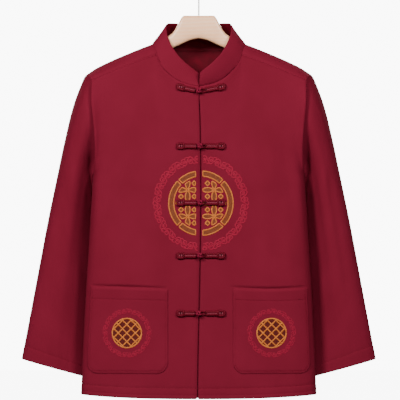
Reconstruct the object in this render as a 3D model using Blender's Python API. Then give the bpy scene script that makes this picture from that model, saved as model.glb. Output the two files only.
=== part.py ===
"""Tang jacket of soft wool cloth, hung on a wooden hanger with a wire hook.

Metres, +Z up. The origin is where a rail bears inside the top of the hook.
+X is the wearer's left, -Y is the front. A men's size L: about 74 cm long from the
neck, 48 cm across the shoulders and 106 cm round the chest.

Every cloth piece is a panel of one connected outer surface, given a wall inwards
and drawn back a little at its seams. The lower body is made of rings, the upper
body of patches between the armhole, the neckline and the shoulder seam, and a
sleeve of rings that run from the armhole to the cuff.
"""

import math

import bmesh
import bpy
import numpy as np
from mathutils import Vector
from mathutils.bvhtree import BVHTree


def table(columns, rows):
    """The columns of a short table, by name."""
    return dict(zip(columns.split(), np.array(rows, dtype=float).T))


# Cloth and seams
CLOTH_WALL = 0.0018
COLLAR_WALL = 0.0026
POCKET_WALL = 0.0016
SEAM_GAP = 0.0003
MOST_MITRE = 1.6  # how much longer than the wall a corner's inward step may be
LEAST_TURN = 0.6  # the sharpest corner that a seam is drawn back from in full
SHARP_ANGLE = 42  # degrees between faces that meet at a hard edge
FRONT_EDGE = 0.0010  # each front stops this far from the middle

# Body, from the armpit down: half width, depth of the side line, front and back
ARMPIT_Z = -0.4300
HEM_Z = -0.8872
HEM_RISE = 0.0086  # the hem is this much higher at the side seams
HEM_CURVE = 2.6
BODY = table(
    "z      half_width side_y   front_y  back_y  front_power back_power",
    [
        (-0.4300, 0.2220, 0.0150, -0.0610, 0.0640, 2.7, 2.4),
        (-0.4550, 0.2233, 0.0000, -0.0625, 0.0655, 2.8, 2.3),
        (-0.4900, 0.2255, -0.0070, -0.0635, 0.0660, 3.0, 2.2),
        (-0.5600, 0.2297, -0.0110, -0.0645, 0.0650, 3.2, 2.2),
        (-0.6500, 0.2352, -0.0120, -0.0630, 0.0630, 3.4, 2.2),
        (-0.7710, 0.2415, -0.0130, -0.0620, 0.0630, 3.4, 2.2),
        (-0.8872, 0.2460, -0.0130, -0.0635, 0.0650, 3.3, 2.2),
    ],
)
POCKET_MOUTH_Z, POCKET_FOOT_Z = -0.6545, -0.8320
POCKET_INNER, POCKET_OUTER = 0.282, 0.955  # as parts of the half width
LOWER_LEVELS = (
    [HEM_Z, -0.8600]
    + list(np.linspace(POCKET_FOOT_Z, POCKET_MOUTH_Z, 6))
    + list(np.linspace(POCKET_MOUTH_Z, ARMPIT_Z, 7)[1:])
)
NECK_COLUMNS, SHOULDER_COLUMNS = 5, 6
FRONT_COLUMNS = [0, 0.094, 0.188, POCKET_INNER, 0.392, 0.502, 0.612, 0.722, 0.842, POCKET_OUTER, 0.992, 1]
BACK_NECK_COLUMNS = 4
BACK_COLUMNS = [math.sin(math.pi / 2 * i / 10) for i in range(11)]
FRONT_ROWS_UP, BACK_ROWS_UP = 10, 11

# Upper body
NECK_FRONT = table(  # from the front edge to the shoulder seam
    "x      y        z",
    [
        (FRONT_EDGE, -0.0560, -0.2343),
        (0.0230, -0.0550, -0.2300),
        (0.0441, -0.0520, -0.2221),
        (0.0672, -0.0450, -0.2041),
        (0.0809, -0.0370, -0.1873),
        (0.0895, -0.0265, -0.1665),
    ],
)
NECK_BACK = table(  # from the middle of the back to the shoulder
    "x      y        z",
    [
        (0.0000, 0.0480, -0.1510),
        (0.0350, 0.0450, -0.1510),
        (0.0700, 0.0330, -0.1508),
        (0.0935, 0.0140, -0.1506),
    ],
)
RIDGE = table(  # the top fold of the shoulder
    "x      z",
    [
        (0.0980, -0.1448),
        (0.1260, -0.1556),
        (0.1470, -0.1642),
        (0.1680, -0.1730),
        (0.1890, -0.1824),
        (0.2100, -0.1928),
        (0.2260, -0.2018),
        (0.2380, -0.2110),
    ],
)
SHOULDER_SEAM = table(  # it lies forward of the top fold
    "x      y        z",
    [
        (0.0895, -0.0265, -0.1665),
        (0.1350, -0.0285, -0.1822),
        (0.1800, -0.0300, -0.2005),
        (0.2247, -0.0300, -0.2188),
    ],
)
RIDGE_BACK_Y, RIDGE_BACK_DROP = 0.0140, 0.0058
RIDGE_BACK_LEAN = (0.0045, 0.0015)  # how far in it lies, at the neck and at the arm
RIDGE_FRONT_Y, RIDGE_FRONT_BULGE = -0.0150, 0.0035
MIDDLE_SWELL = 0.0025  # how far the middle of front and back stands out above the armpits
RELAX_PASSES, RELAX_ROWS = 40, 4
RELAX_SHARE, RELAX_UP, RELAX_ACROSS = 0.5, 0.4, 0.1
UNDER_SHOULDER = 0.05  # a depth that is inside the jacket, below the top fold
SIDES = {1: "left", -1: "right"}  # the wearer's left is at +X
ARMHOLE_FRONT = table(  # from the armpit to the shoulder seam
    "x      y        z",
    [
        (0.2220, 0.0150, -0.4300),
        (0.2195, -0.0240, -0.4090),
        (0.2160, -0.0430, -0.3660),
        (0.2182, -0.0490, -0.3190),
        (0.2240, -0.0440, -0.2608),
        (0.2247, -0.0300, -0.2188),
    ],
)
ARMHOLE_BACK = table(  # from the armpit to just behind the top fold
    "x      y        z",
    [
        (0.2220, 0.0150, -0.4300),
        (0.2190, 0.0440, -0.4020),
        (0.2150, 0.0580, -0.3500),
        (0.2185, 0.0570, -0.2900),
        (0.2280, 0.0400, -0.2420),
        (0.2365, 0.0140, -0.2170),
    ],
)

# Sleeves: the outer edge and the underarm line, by share of the way to the cuff
SLEEVE_RINGS = 17
SLEEVE_SPREAD = 1.12  # rings lie closer at the armhole
SLEEVE_OUTER = table(
    "share  x       y       z",
    [
        (0.000, 0.2380, 0.0000, -0.2110),
        (0.040, 0.2485, 0.0020, -0.2347),
        (0.100, 0.2617, 0.0050, -0.2703),
        (0.200, 0.2770, 0.0080, -0.3296),
        (0.350, 0.2962, 0.0110, -0.4185),
        (0.500, 0.3148, 0.0120, -0.5075),
        (0.700, 0.3373, 0.0120, -0.6261),
        (0.850, 0.3540, 0.0120, -0.7150),
        (1.000, 0.3709, 0.0120, -0.8040),
    ],
)
SLEEVE_UNDER = table(
    "share  x       y       z",
    [
        (0.000, 0.2220, 0.0150, -0.4300),
        (0.050, 0.2240, 0.0285, -0.4480),
        (0.120, 0.2225, 0.0320, -0.4780),
        (0.250, 0.2232, 0.0300, -0.5330),
        (0.500, 0.2280, 0.0290, -0.6360),
        (0.750, 0.2325, 0.0260, -0.7390),
        (1.000, 0.2360, 0.0210, -0.8420),
    ],
)
SLEEVE_DEPTH = table(  # half depth front to back, and how flat the inner front lies
    "share  half_depth tuck",
    [
        (0.00, 0.0525, 0.30),
        (0.05, 0.0515, 0.70),
        (0.14, 0.0495, 0.76),
        (0.40, 0.0440, 0.62),
        (0.70, 0.0370, 0.50),
        (1.00, 0.0270, 0.25),
    ],
)
INNER_START = 0.35  # cosine of the angle at which a section starts to flatten inwards
BACK_TUCK = 0.15
ARMHOLE_REACH = 0.34  # the share of the sleeve over which the armhole's own form fades

# Soft folds: centre line at its top, half width, depth (+ sinks in), top and bottom
# and how far the line leans outwards on its way down
FRONT_FOLDS = table(
    "x      width  depth   top    bottom lean",
    [
        (0.1850, 0.0170, 0.0032, -0.330, -0.640, -0.020),
        (0.1150, 0.0200, 0.0020, -0.300, -0.900, 0.022),
        (0.0560, 0.0160, 0.0016, -0.480, -0.930, 0.008),
        (0.1650, 0.0180, 0.0026, -0.620, -0.930, 0.015),
        (-0.1900, 0.0160, 0.0028, -0.340, -0.600, 0.016),
        (-0.1300, 0.0210, 0.0024, -0.360, -0.920, -0.018),
        (-0.0700, 0.0170, 0.0018, -0.520, -0.930, -0.010),
        (-0.1780, 0.0190, 0.0022, -0.640, -0.930, -0.012),
    ],
)
BACK_FOLDS = table(
    "x      width  depth   top    bottom lean",
    [
        (0.1550, 0.0200, 0.0040, -0.270, -0.620, -0.025),
        (0.0800, 0.0240, 0.0030, -0.360, -0.930, 0.020),
        (-0.0150, 0.0220, 0.0026, -0.480, -0.930, -0.010),
        (-0.1050, 0.0230, 0.0034, -0.330, -0.930, -0.016),
        (-0.1650, 0.0190, 0.0038, -0.280, -0.560, 0.028),
        (0.1300, 0.0180, 0.0028, -0.600, -0.930, 0.012),
    ],
)
FOLD_FADE = 0.060
SLEEVE_FOLDS = table(  # angle round the sleeve from its outer edge, towards the front
    "side angle  width depth   start end",
    [
        (1, 62, 16, 0.0034, 0.22, 0.80),
        (1, 118, 20, 0.0040, 0.10, 0.62),
        (1, 250, 22, 0.0040, 0.15, 0.70),
        (1, 300, 18, 0.0030, 0.45, 1.10),
        (-1, 70, 18, 0.0030, 0.30, 0.90),
        (-1, 122, 18, 0.0042, 0.08, 0.55),
        (-1, 240, 20, 0.0042, 0.20, 0.78),
        (-1, 312, 20, 0.0028, 0.05, 0.60),
    ],
)
SLEEVE_FOLD_FADE = 0.12

# Standing collar: its top edge, from the notch in front to the middle of the back
COLLAR_ROWS = 4
COLLAR_TOP = table(
    "x      y        z",
    [
        (0.0012, -0.0270, -0.2058),
        (0.0100, -0.0290, -0.1988),
        (0.0225, -0.0290, -0.1893),
        (0.0431, -0.0250, -0.1694),
        (0.0590, -0.0150, -0.1432),
        (0.0680, -0.0030, -0.1180),
        (0.0665, 0.0120, -0.1020),
        (0.0510, 0.0290, -0.1010),
        (0.0250, 0.0370, -0.1012),
        (0.0000, 0.0395, -0.1012),
    ],
)
COLLAR_SWELL = 0.0022
COLLAR_CENTRE_Y = 0.012

# Patch pockets
POCKET_CORNER = 0.0240
POCKET_LIFT = 0.0006
POCKET_GAPE = 0.0032  # how far the mouth stands off the front

# Frog closures: height, how much the arms rise outwards
FROGS = table(
    "z        arm_rise",
    [
        (-0.2412, 0.0098),
        (-0.3582, 0.0),
        (-0.4750, 0.0),
        (-0.5860, 0.0),
        (-0.7060, 0.0),
    ],
)
FROG_LIFT = 0.0006
ARM_RISE_POWER = 1.3
STRAND_RADIUS = 0.0029
FOLDED_END = 0.0135
FOLDED_END_SCALE = 1.10
END_SCALE, END_ROUNDING = 0.86, 0.0012
STRAP_UNDERSIDE = -0.55
STRAP_SECTION = table(  # two strands side by side, in strand radii
    "across  out",
    [
        (2.00, STRAP_UNDERSIDE),
        (1.97, 0.30),
        (1.60, 0.86),
        (1.00, 1.00),
        (0.35, 0.72),
        (0.00, 0.28),
        (-0.35, 0.72),
        (-1.00, 1.00),
        (-1.60, 0.86),
        (-1.97, 0.30),
        (-2.00, STRAP_UNDERSIDE),
    ],
)
STRAP_KNOT_SIDE = (-0.0470, -0.0085)  # outer end, inner end
STRAP_LOOP_SIDE = (0.0560, 0.0140)
KNOT_X, KNOT_RADIUS, KNOT_FLATNESS = -0.0020, 0.0053, 0.80
LOOP_CORD, LOOP_TURN = 0.0017, 0.0042
LOOP_HALF_HEIGHT = 0.0050  # of the cloth that the loop lies on
LOOP_START = 0.85  # the share of its reach over which it leaves the strap straight
PIECE_GAP = 0.0003
EDGE_CLEARANCE = 0.0006  # how far from a front's edge its depth is taken
OUTSIDE_Y = -1.0

# Hanger: sections along its length
HANGER = table(
    "x      top      bottom   half_depth",
    [
        (0.0000, -0.0850, -0.1327, 0.0100),
        (0.0180, -0.0850, -0.1368, 0.0100),
        (0.0290, -0.0855, -0.1418, 0.0100),
        (0.0350, -0.0880, -0.1443, 0.0100),
        (0.0424, -0.1012, -0.1475, 0.0098),
        (0.0490, -0.1138, -0.1504, 0.0095),
        (0.0540, -0.1211, -0.1526, 0.0092),
        (0.0625, -0.1274, -0.1562, 0.0090),
        (0.0800, -0.1400, -0.1640, 0.0086),
        (0.0900, -0.1475, -0.1685, 0.0084),
        (0.1020, -0.1530, -0.1735, 0.0084),
        (0.1300, -0.1634, -0.1840, 0.0082),
        (0.1650, -0.1780, -0.1980, 0.0080),
        (0.1950, -0.1918, -0.2105, 0.0078),
        (0.2100, -0.2000, -0.2165, 0.0070),
        (0.2150, -0.2050, -0.2150, 0.0045),
    ],
)
HANGER_SIDES = 12
HANGER_SQUARENESS = 2.3

# Hook: round wire, in the plane of the hanger
WIRE = 0.0034
HOOK_RADIUS = 0.0207  # of the wire's centre line
HOOK_FILLET = 0.0080
HOOK_TIP_ANGLE = 200
HOOK_STEP = 9  # degrees between points

# colour, roughness, metallic
FINISHES = {
    "jacket_cloth": ((0.242, 0.012, 0.027), 0.85, 0.0),
    "frog_cord": ((0.185, 0.009, 0.016), 0.60, 0.0),
    "hanger_wood": ((0.784, 0.584, 0.423), 0.50, 0.0),
    "hook_metal": ((0.720, 0.700, 0.680), 0.30, 1.0),
}


def clear_scene():
    """Remove whatever the scene holds."""
    for obj in list(bpy.data.objects):
        bpy.data.objects.remove(obj, do_unlink=True)


def finish(name, slot):
    """A material of its own for one piece."""
    colour, roughness, metallic = FINISHES[slot]
    material = bpy.data.materials.new(name + "_" + slot)
    material.use_nodes = True
    shader = material.node_tree.nodes["Principled BSDF"]
    shader.inputs["Base Color"].default_value = (*colour, 1.0)
    shader.inputs["Roughness"].default_value = roughness
    shader.inputs["Metallic"].default_value = metallic
    material.diffuse_color = (*colour, 1.0)
    return material


def solid(name, points, faces, slot):
    """One mesh object, shaded smooth with its hard edges kept."""
    mesh = bpy.data.meshes.new(name)
    mesh.from_pydata([tuple(p) for p in points], [], [tuple(f) for f in faces])
    mesh.shade_smooth()
    mesh.set_sharp_from_angle(angle=math.radians(SHARP_ANGLE))
    mesh.materials.append(finish(name, slot))
    obj = bpy.data.objects.new(name, mesh)
    bpy.context.scene.collection.objects.link(obj)
    return obj


def tube(name, path, radius, slot):
    """A round cord or wire along a path, with closed ends."""
    curve = bpy.data.curves.new(name, "CURVE")
    curve.dimensions = "3D"
    curve.bevel_depth = radius
    curve.bevel_resolution = 2
    curve.use_fill_caps = True
    spline = curve.splines.new("POLY")
    spline.points.add(len(path) - 1)
    for point, place in zip(spline.points, path):
        point.co = (*place, 1.0)
    curve.materials.append(finish(name, slot))
    obj = bpy.data.objects.new(name, curve)
    bpy.context.scene.collection.objects.link(obj)
    return obj


def smooth(xs, ys, at):
    """A smooth curve through the points (xs, ys), read at one or many places."""
    xs, ys = np.asarray(xs, float), np.asarray(ys, float)
    if xs[0] > xs[-1]:
        xs, ys = xs[::-1], ys[::-1]
    at = np.clip(at, xs[0], xs[-1])
    slopes = np.gradient(ys, xs)
    i = np.clip(np.searchsorted(xs, at) - 1, 0, len(xs) - 2)
    span = xs[i + 1] - xs[i]
    t = (at - xs[i]) / span
    return (
        (2 * t**3 - 3 * t**2 + 1) * ys[i]
        + (t**3 - 2 * t**2 + t) * span * slopes[i]
        + (3 * t**2 - 2 * t**3) * ys[i + 1]
        + (t**3 - t**2) * span * slopes[i + 1]
    )


def along(curve, shares):
    """Points at shares of the length of a smooth curve through a table's x, y, z."""
    corners = np.stack([curve["x"], curve["y"], curve["z"]], axis=1)
    knots = np.concatenate([[0], np.cumsum(np.linalg.norm(np.diff(corners, axis=0), axis=1))])
    fine = np.linspace(0, knots[-1], 200)
    path = np.stack([smooth(knots, corners[:, k], fine) for k in range(3)], axis=1)
    lengths = np.concatenate([[0], np.cumsum(np.linalg.norm(np.diff(path, axis=0), axis=1))])
    at = np.asarray(shares) * lengths[-1]
    return np.stack([np.interp(at, lengths, path[:, k]) for k in range(3)], axis=1)


def even(count):
    """Shares from 0 to 1 in a number of equal steps."""
    return np.linspace(0, 1, count + 1)


def window(z, top, bottom, fade):
    """1 between top and bottom, fading softly to 0 past each."""
    rise = np.clip((top - z) / fade, 0, 1) * np.clip((z - bottom) / fade, 0, 1)
    return rise * rise * (3 - 2 * rise)


def fold_depth(folds, x, z):
    """How far the soft folds move the cloth in at (x, z)."""
    depth = 0.0
    for i in range(len(folds["x"])):
        top, bottom = folds["top"][i], folds["bottom"][i]
        centre = folds["x"][i] + folds["lean"][i] * (top - z) / (top - bottom)
        reach = (x - centre) / folds["width"][i]
        depth = depth + folds["depth"][i] * np.exp(-reach * reach) * window(z, top, bottom, FOLD_FADE)
    return depth


def body_row(level, shares, is_front):
    """Half a ring round the lower body at one level, from the middle to the side."""
    at = {column: float(smooth(BODY["z"], BODY[column], level)) for column in BODY if column != "z"}
    shares = np.asarray(shares, float)
    power = at["front_power" if is_front else "back_power"]
    depth = at["front_y" if is_front else "back_y"] - at["side_y"]
    lift = HEM_RISE * ((level - ARMPIT_Z) / (HEM_Z - ARMPIT_Z)) ** 2
    x = at["half_width"] * shares
    y = at["side_y"] + depth * (1 - shares**power) ** (1 / power)
    return np.stack([x, y, level + lift * shares**HEM_CURVE], axis=1)


def length_shares(line):
    """How far along a line each of its points lies, from 0 to 1."""
    lengths = np.concatenate([[0], np.cumsum(np.linalg.norm(np.diff(line, axis=0), axis=1))])
    return lengths / lengths[-1]


def patch(bottom, top, left, right):
    """A smooth grid between four edges, from bottom to top and from left to right."""
    u = ((length_shares(bottom) + length_shares(top)) / 2)[None, :, None]
    v = ((length_shares(left) + length_shares(right)) / 2)[:, None, None]
    between = (1 - v) * bottom[None] + v * top[None] + (1 - u) * left[:, None] + u * right[:, None]
    corners = (1 - v) * ((1 - u) * bottom[0] + u * bottom[-1]) + v * ((1 - u) * top[0] + u * top[-1])
    return between - corners


def relax_depth(grid, armpit_row, passes):
    """Even out how deep the cloth lies round and above the armpits, leaving the edges."""
    depth = grid[:, :, 1]
    rows = np.arange(1, len(grid) - 1)
    share = RELAX_SHARE * np.clip((rows - armpit_row + RELAX_ROWS) / RELAX_ROWS, 0, 1)[:, None]
    for _ in range(passes):
        mean = RELAX_UP * (depth[:-2, 1:-1] + depth[2:, 1:-1])
        mean += RELAX_ACROSS * (depth[1:-1, :-2] + depth[1:-1, 2:])
        depth[1:-1, 1:-1] += share * (mean - depth[1:-1, 1:-1])


def shoulder_strip():
    """The cloth over one shoulder: rows from behind the top fold to the forward seam."""
    x = np.linspace(RIDGE["x"][0], RIDGE["x"][-1], SHOULDER_COLUMNS + 1)
    ridge = np.stack([x, 0 * x, smooth(RIDGE["x"], RIDGE["z"], x)], axis=1)
    behind = ridge + np.array([0, RIDGE_BACK_Y, -RIDGE_BACK_DROP])
    behind[:, 0] -= np.linspace(*RIDGE_BACK_LEAN, SHOULDER_COLUMNS + 1)
    seam = along(SHOULDER_SEAM, even(SHOULDER_COLUMNS))
    ahead = (ridge + seam) / 2 + np.array([0, 0, RIDGE_FRONT_BULGE])
    ahead[:, 1] = RIDGE_FRONT_Y
    return np.stack([behind, ridge, ahead, seam])


def body_half(strip, is_front):
    """Half of the front or the back on the +X side, rows up and columns out from the middle."""
    shares = FRONT_COLUMNS if is_front else BACK_COLUMNS
    lower = np.stack([body_row(level, shares, is_front) for level in LOWER_LEVELS])
    armhole_table = ARMHOLE_FRONT if is_front else ARMHOLE_BACK
    armhole = along(armhole_table, even(FRONT_ROWS_UP if is_front else BACK_ROWS_UP))
    if is_front:
        lower[:, 0, 0] = FRONT_EDGE
        neck = along(NECK_FRONT, even(NECK_COLUMNS))
        top = np.concatenate([neck[:-1], strip[-1]])
    else:
        neck = along(NECK_BACK, even(BACK_NECK_COLUMNS))
        top = np.concatenate([neck[:-1], strip[0]])
    armhole[0], armhole[-1] = lower[-1, -1], top[-1]
    rise = even(len(armhole) - 1)[:, None]
    middle = lower[-1, 0] * (1 - rise) + top[0] * rise
    middle[:, 1] += MIDDLE_SWELL * np.sin(math.pi * rise[:, 0]) * (-1 if is_front else 1)
    upper = patch(lower[-1], top, middle, armhole)
    grid = np.concatenate([lower, upper[1:]])
    relax_depth(grid, len(LOWER_LEVELS) - 1, RELAX_PASSES)
    return grid


def folded(half, side, is_front):
    """A half of the body on one side, with the soft folds of its own side."""
    grid = half * np.array([side, 1, 1])
    rows_up = len(grid) - len(LOWER_LEVELS)
    shares = np.array(FRONT_COLUMNS if is_front else BACK_COLUMNS)
    rise = np.clip((np.arange(len(grid)) - len(LOWER_LEVELS) + 1) / rows_up, 0, 1)
    free = (1 - shares[None, :] ** 8) * (1 - rise[:, None] ** 3)
    folds = FRONT_FOLDS if is_front else BACK_FOLDS
    grid[:, :, 1] += (1 if is_front else -1) * free * fold_depth(folds, grid[:, :, 0], grid[:, :, 2])
    return grid


def sleeve_section(share, angles):
    """One ring of the sleeve at a share of the way down, without the armhole's own form."""
    outer = np.array([smooth(SLEEVE_OUTER["share"], SLEEVE_OUTER[k], share) for k in "xyz"])
    under = np.array([smooth(SLEEVE_UNDER["share"], SLEEVE_UNDER[k], share) for k in "xyz"])
    depth = smooth(SLEEVE_DEPTH["share"], SLEEVE_DEPTH["half_depth"], share)
    tuck = smooth(SLEEVE_DEPTH["share"], SLEEVE_DEPTH["tuck"], share)
    inwards = np.clip((INNER_START - np.cos(angles)) / (1 + INNER_START), 0, 1)
    inwards = inwards**2 * (3 - 2 * inwards)
    flatness = 1 - np.where(np.sin(angles) > 0, tuck, BACK_TUCK) * inwards
    ring = (outer + under) / 2 + np.cos(angles)[:, None] * (outer - under) / 2
    ring[:, 1] -= depth * np.sin(angles) * flatness
    return ring


def sleeve_grid(armhole, side):
    """Rings from the armhole to the cuff. Angle 0 is the outer edge, 90 the front."""
    count = len(armhole)
    angles = 2 * math.pi * np.arange(count) / count
    own_form = armhole - sleeve_section(0.0, angles)
    rings, centres = [], []
    for share in even(SLEEVE_RINGS) ** SLEEVE_SPREAD:
        kept = max(0.0, 1 - share / ARMHOLE_REACH) ** 2
        ring = sleeve_section(share, angles) + kept * own_form
        centre = ring.mean(axis=0)
        inwards = (centre - ring) / np.linalg.norm(centre - ring, axis=1)[:, None]
        depth = 0.0
        for i in np.flatnonzero(SLEEVE_FOLDS["side"] == side):
            turn = (np.degrees(angles) - SLEEVE_FOLDS["angle"][i]) / SLEEVE_FOLDS["width"][i]
            start, end = SLEEVE_FOLDS["start"][i], SLEEVE_FOLDS["end"][i]
            reach = window(-share, -start, -end, SLEEVE_FOLD_FADE)
            depth = depth + SLEEVE_FOLDS["depth"][i] * reach * np.exp(-turn * turn)
        rings.append(ring + inwards * np.reshape(depth * np.ones(count), (-1, 1)))
        centres.append(np.tile(centre, (count, 1)))
    return np.stack(rings), np.stack(centres)


def collar_grid(neckline):
    """The collar between the whole neckline, from one front edge to the other, and its top."""
    half = len(neckline) // 2
    shares = length_shares(neckline[: half + 1])
    top = along(COLLAR_TOP, shares)
    top = np.concatenate([top[:-1], top[::-1] * np.array([-1, 1, 1])])
    rise = even(COLLAR_ROWS)[:, None, None]
    grid = neckline[None] * (1 - rise) + top[None] * rise
    outwards = grid - np.array([0, COLLAR_CENTRE_Y, 0])
    outwards[:, :, 2] = 0
    outwards /= np.linalg.norm(outwards, axis=2)[:, :, None]
    return grid + COLLAR_SWELL * np.sin(math.pi * rise) * outwards


class Surface:
    """The outer surface of the cloth. Panels share its points at their seams."""

    def __init__(self):
        self.points = []
        self.numbers = {}
        self.panels = {}

    def number(self, point):
        """The number of a point, one and the same for all panels that meet there."""
        key = tuple(round(float(c), 6) for c in point)
        if key not in self.numbers:
            self.numbers[key] = len(self.points)
            self.points.append(np.array(point, float))
        return self.numbers[key]

    def add(self, panel, grid, inside, wraps=False):
        """Add a grid to a panel, as triangles that face away from the points inside."""
        ids = [[self.number(point) for point in row] for row in grid]
        triangles = []
        columns = len(ids[0])
        for r in range(len(ids) - 1):
            for c in range(columns if wraps else columns - 1):
                d = (c + 1) % columns
                low, high = ids[r], ids[r + 1]
                triangles.append((low[c], low[d], high[d]))
                triangles.append((low[c], high[d], high[c]))
        corners = np.array(self.points)[np.array(triangles)]
        normals = np.cross(corners[:, 1] - corners[:, 0], corners[:, 2] - corners[:, 0])
        middles = np.repeat(np.asarray(inside)[:-1, : columns if wraps else -1].reshape(-1, 3), 2, axis=0)
        if (normals * (corners.mean(axis=1) - middles)).sum() < 0:
            triangles = [t[::-1] for t in triangles]
        self.panels.setdefault(panel, []).extend(triangles)

    def normals(self):
        """The outward direction at each point, from all the faces round it."""
        points = np.array(self.points)
        total = np.zeros_like(points)
        for triangles in self.panels.values():
            faces = np.array(triangles)
            corners = points[faces]
            cross = np.cross(corners[:, 1] - corners[:, 0], corners[:, 2] - corners[:, 0])
            for k in range(3):
                np.add.at(total, faces[:, k], cross)
        return total / np.linalg.norm(total, axis=1)[:, None]


def seam_edges(faces):
    """The directed edges that only one face uses."""
    directed = [(face[k], face[(k + 1) % 3]) for face in faces for k in range(3)]
    both = set(directed)
    return [edge for edge in directed if edge[::-1] not in both]


def panel_solid(surface, normals, name, wall):
    """One panel: its outer points, a wall inwards, and edges drawn back from the seams."""
    faces = np.array(surface.panels[name])
    used = np.unique(faces)
    local = {int(n): i for i, n in enumerate(used)}
    faces = np.array([[local[int(n)] for n in face] for face in faces])
    outer = np.array(surface.points)[used].copy()
    out = normals[used]
    corners = outer[faces]
    face_normals = np.cross(corners[:, 1] - corners[:, 0], corners[:, 2] - corners[:, 0])
    face_normals /= np.linalg.norm(face_normals, axis=1)[:, None]
    lean = np.zeros(len(outer))
    count = np.zeros(len(outer))
    for k in range(3):
        np.add.at(lean, faces[:, k], (out[faces[:, k]] * face_normals).sum(axis=1))
        np.add.at(count, faces[:, k], 1)
    mitre = 1 / np.clip(lean / count, 1 / MOST_MITRE, 1)

    edges = seam_edges([tuple(int(i) for i in face) for face in faces])
    face_of = {}
    for number, face in enumerate(faces):
        for k in range(3):
            face_of[(int(face[k]), int(face[(k + 1) % 3]))] = number
    inward = {}
    for a, b in edges:
        along_edge = outer[b] - outer[a]
        into = np.cross(face_normals[face_of[(a, b)]], along_edge)
        into /= np.linalg.norm(into)
        inward.setdefault(a, []).append(into)
        inward.setdefault(b, []).append(into)
    inner = outer - out * (wall * mitre)[:, None]
    for i, directions in inward.items():
        turn = max(LEAST_TURN, 1 + float(np.dot(directions[0], directions[-1])))
        pull = sum(directions) * (SEAM_GAP / 2) * (wall / CLOTH_WALL) / turn
        outer[i] += pull
        inner[i] += pull

    step = len(outer)
    all_faces = [tuple(face) for face in faces]
    all_faces += [tuple(face[::-1] + step) for face in faces]
    for a, b in edges:
        all_faces += [(b, a, a + step), (b, a + step, b + step)]
    solid(name, np.concatenate([outer, inner]), all_faces, "jacket_cloth")
    return BVHTree.FromPolygons([Vector(p) for p in outer], [tuple(int(i) for i in f) for f in faces])


def depth_at(front, x, z):
    """Where the front lies at (x, z), as its y."""
    x = math.copysign(max(abs(x), FRONT_EDGE + EDGE_CLEARANCE), x)
    hit = front.ray_cast(Vector((x, OUTSIDE_Y, z)), Vector((0.0, 1.0, 0.0)))[0]
    return hit.y


def jacket():
    """The cloth panels. Returns the two fronts' surfaces, for what is sewn on them."""
    strip = shoulder_strip()
    front_half = body_half(strip, True)
    back_half = body_half(strip, False)
    surface = Surface()
    axis = np.array([0, 0, 1])
    necklines = {}
    for side, which in SIDES.items():
        front = folded(front_half, side, True)
        surface.add("front_" + which, front, front * axis)
        over = strip * np.array([side, 1, 1])
        surface.add("back", over, over * np.array([1, 0, 1]) - np.array([0, 0, UNDER_SHOULDER]))
        ridge_to_armpit = list(over[1:, -1]) + list(front[::-1, -1][1 : FRONT_ROWS_UP + 1])
        back_armhole = (back_half * np.array([side, 1, 1]))[len(LOWER_LEVELS) :, -1]
        armhole = np.array(ridge_to_armpit + list(back_armhole))
        rings, centres = sleeve_grid(armhole * np.array([side, 1, 1]), side)
        mirror = np.array([side, 1, 1])
        surface.add("sleeve_" + which, rings * mirror, centres * mirror, wraps=True)
        necklines[side] = list(front[-1, : NECK_COLUMNS + 1]) + [over[2, 0], over[1, 0]]
    left, right = folded(back_half, 1, False), folded(back_half, -1, False)
    back = np.concatenate([right[:, ::-1], left[:, 1:]], axis=1)
    surface.add("back", back, back * axis)
    middle = len(BACK_COLUMNS) - 1
    behind = back[-1, middle - BACK_NECK_COLUMNS : middle + BACK_NECK_COLUMNS + 1]
    neckline = np.array(necklines[1] + list(behind[::-1]) + necklines[-1][::-1])
    collar = collar_grid(neckline)
    surface.add("collar", collar, collar * axis + np.array([0, COLLAR_CENTRE_Y, 0]))

    normals = surface.normals()
    walls = {name: COLLAR_WALL if name == "collar" else CLOTH_WALL for name in surface.panels}
    trees = {name: panel_solid(surface, normals, name, wall) for name, wall in walls.items()}
    return {side: trees["front_" + which] for side, which in SIDES.items()}


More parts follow.
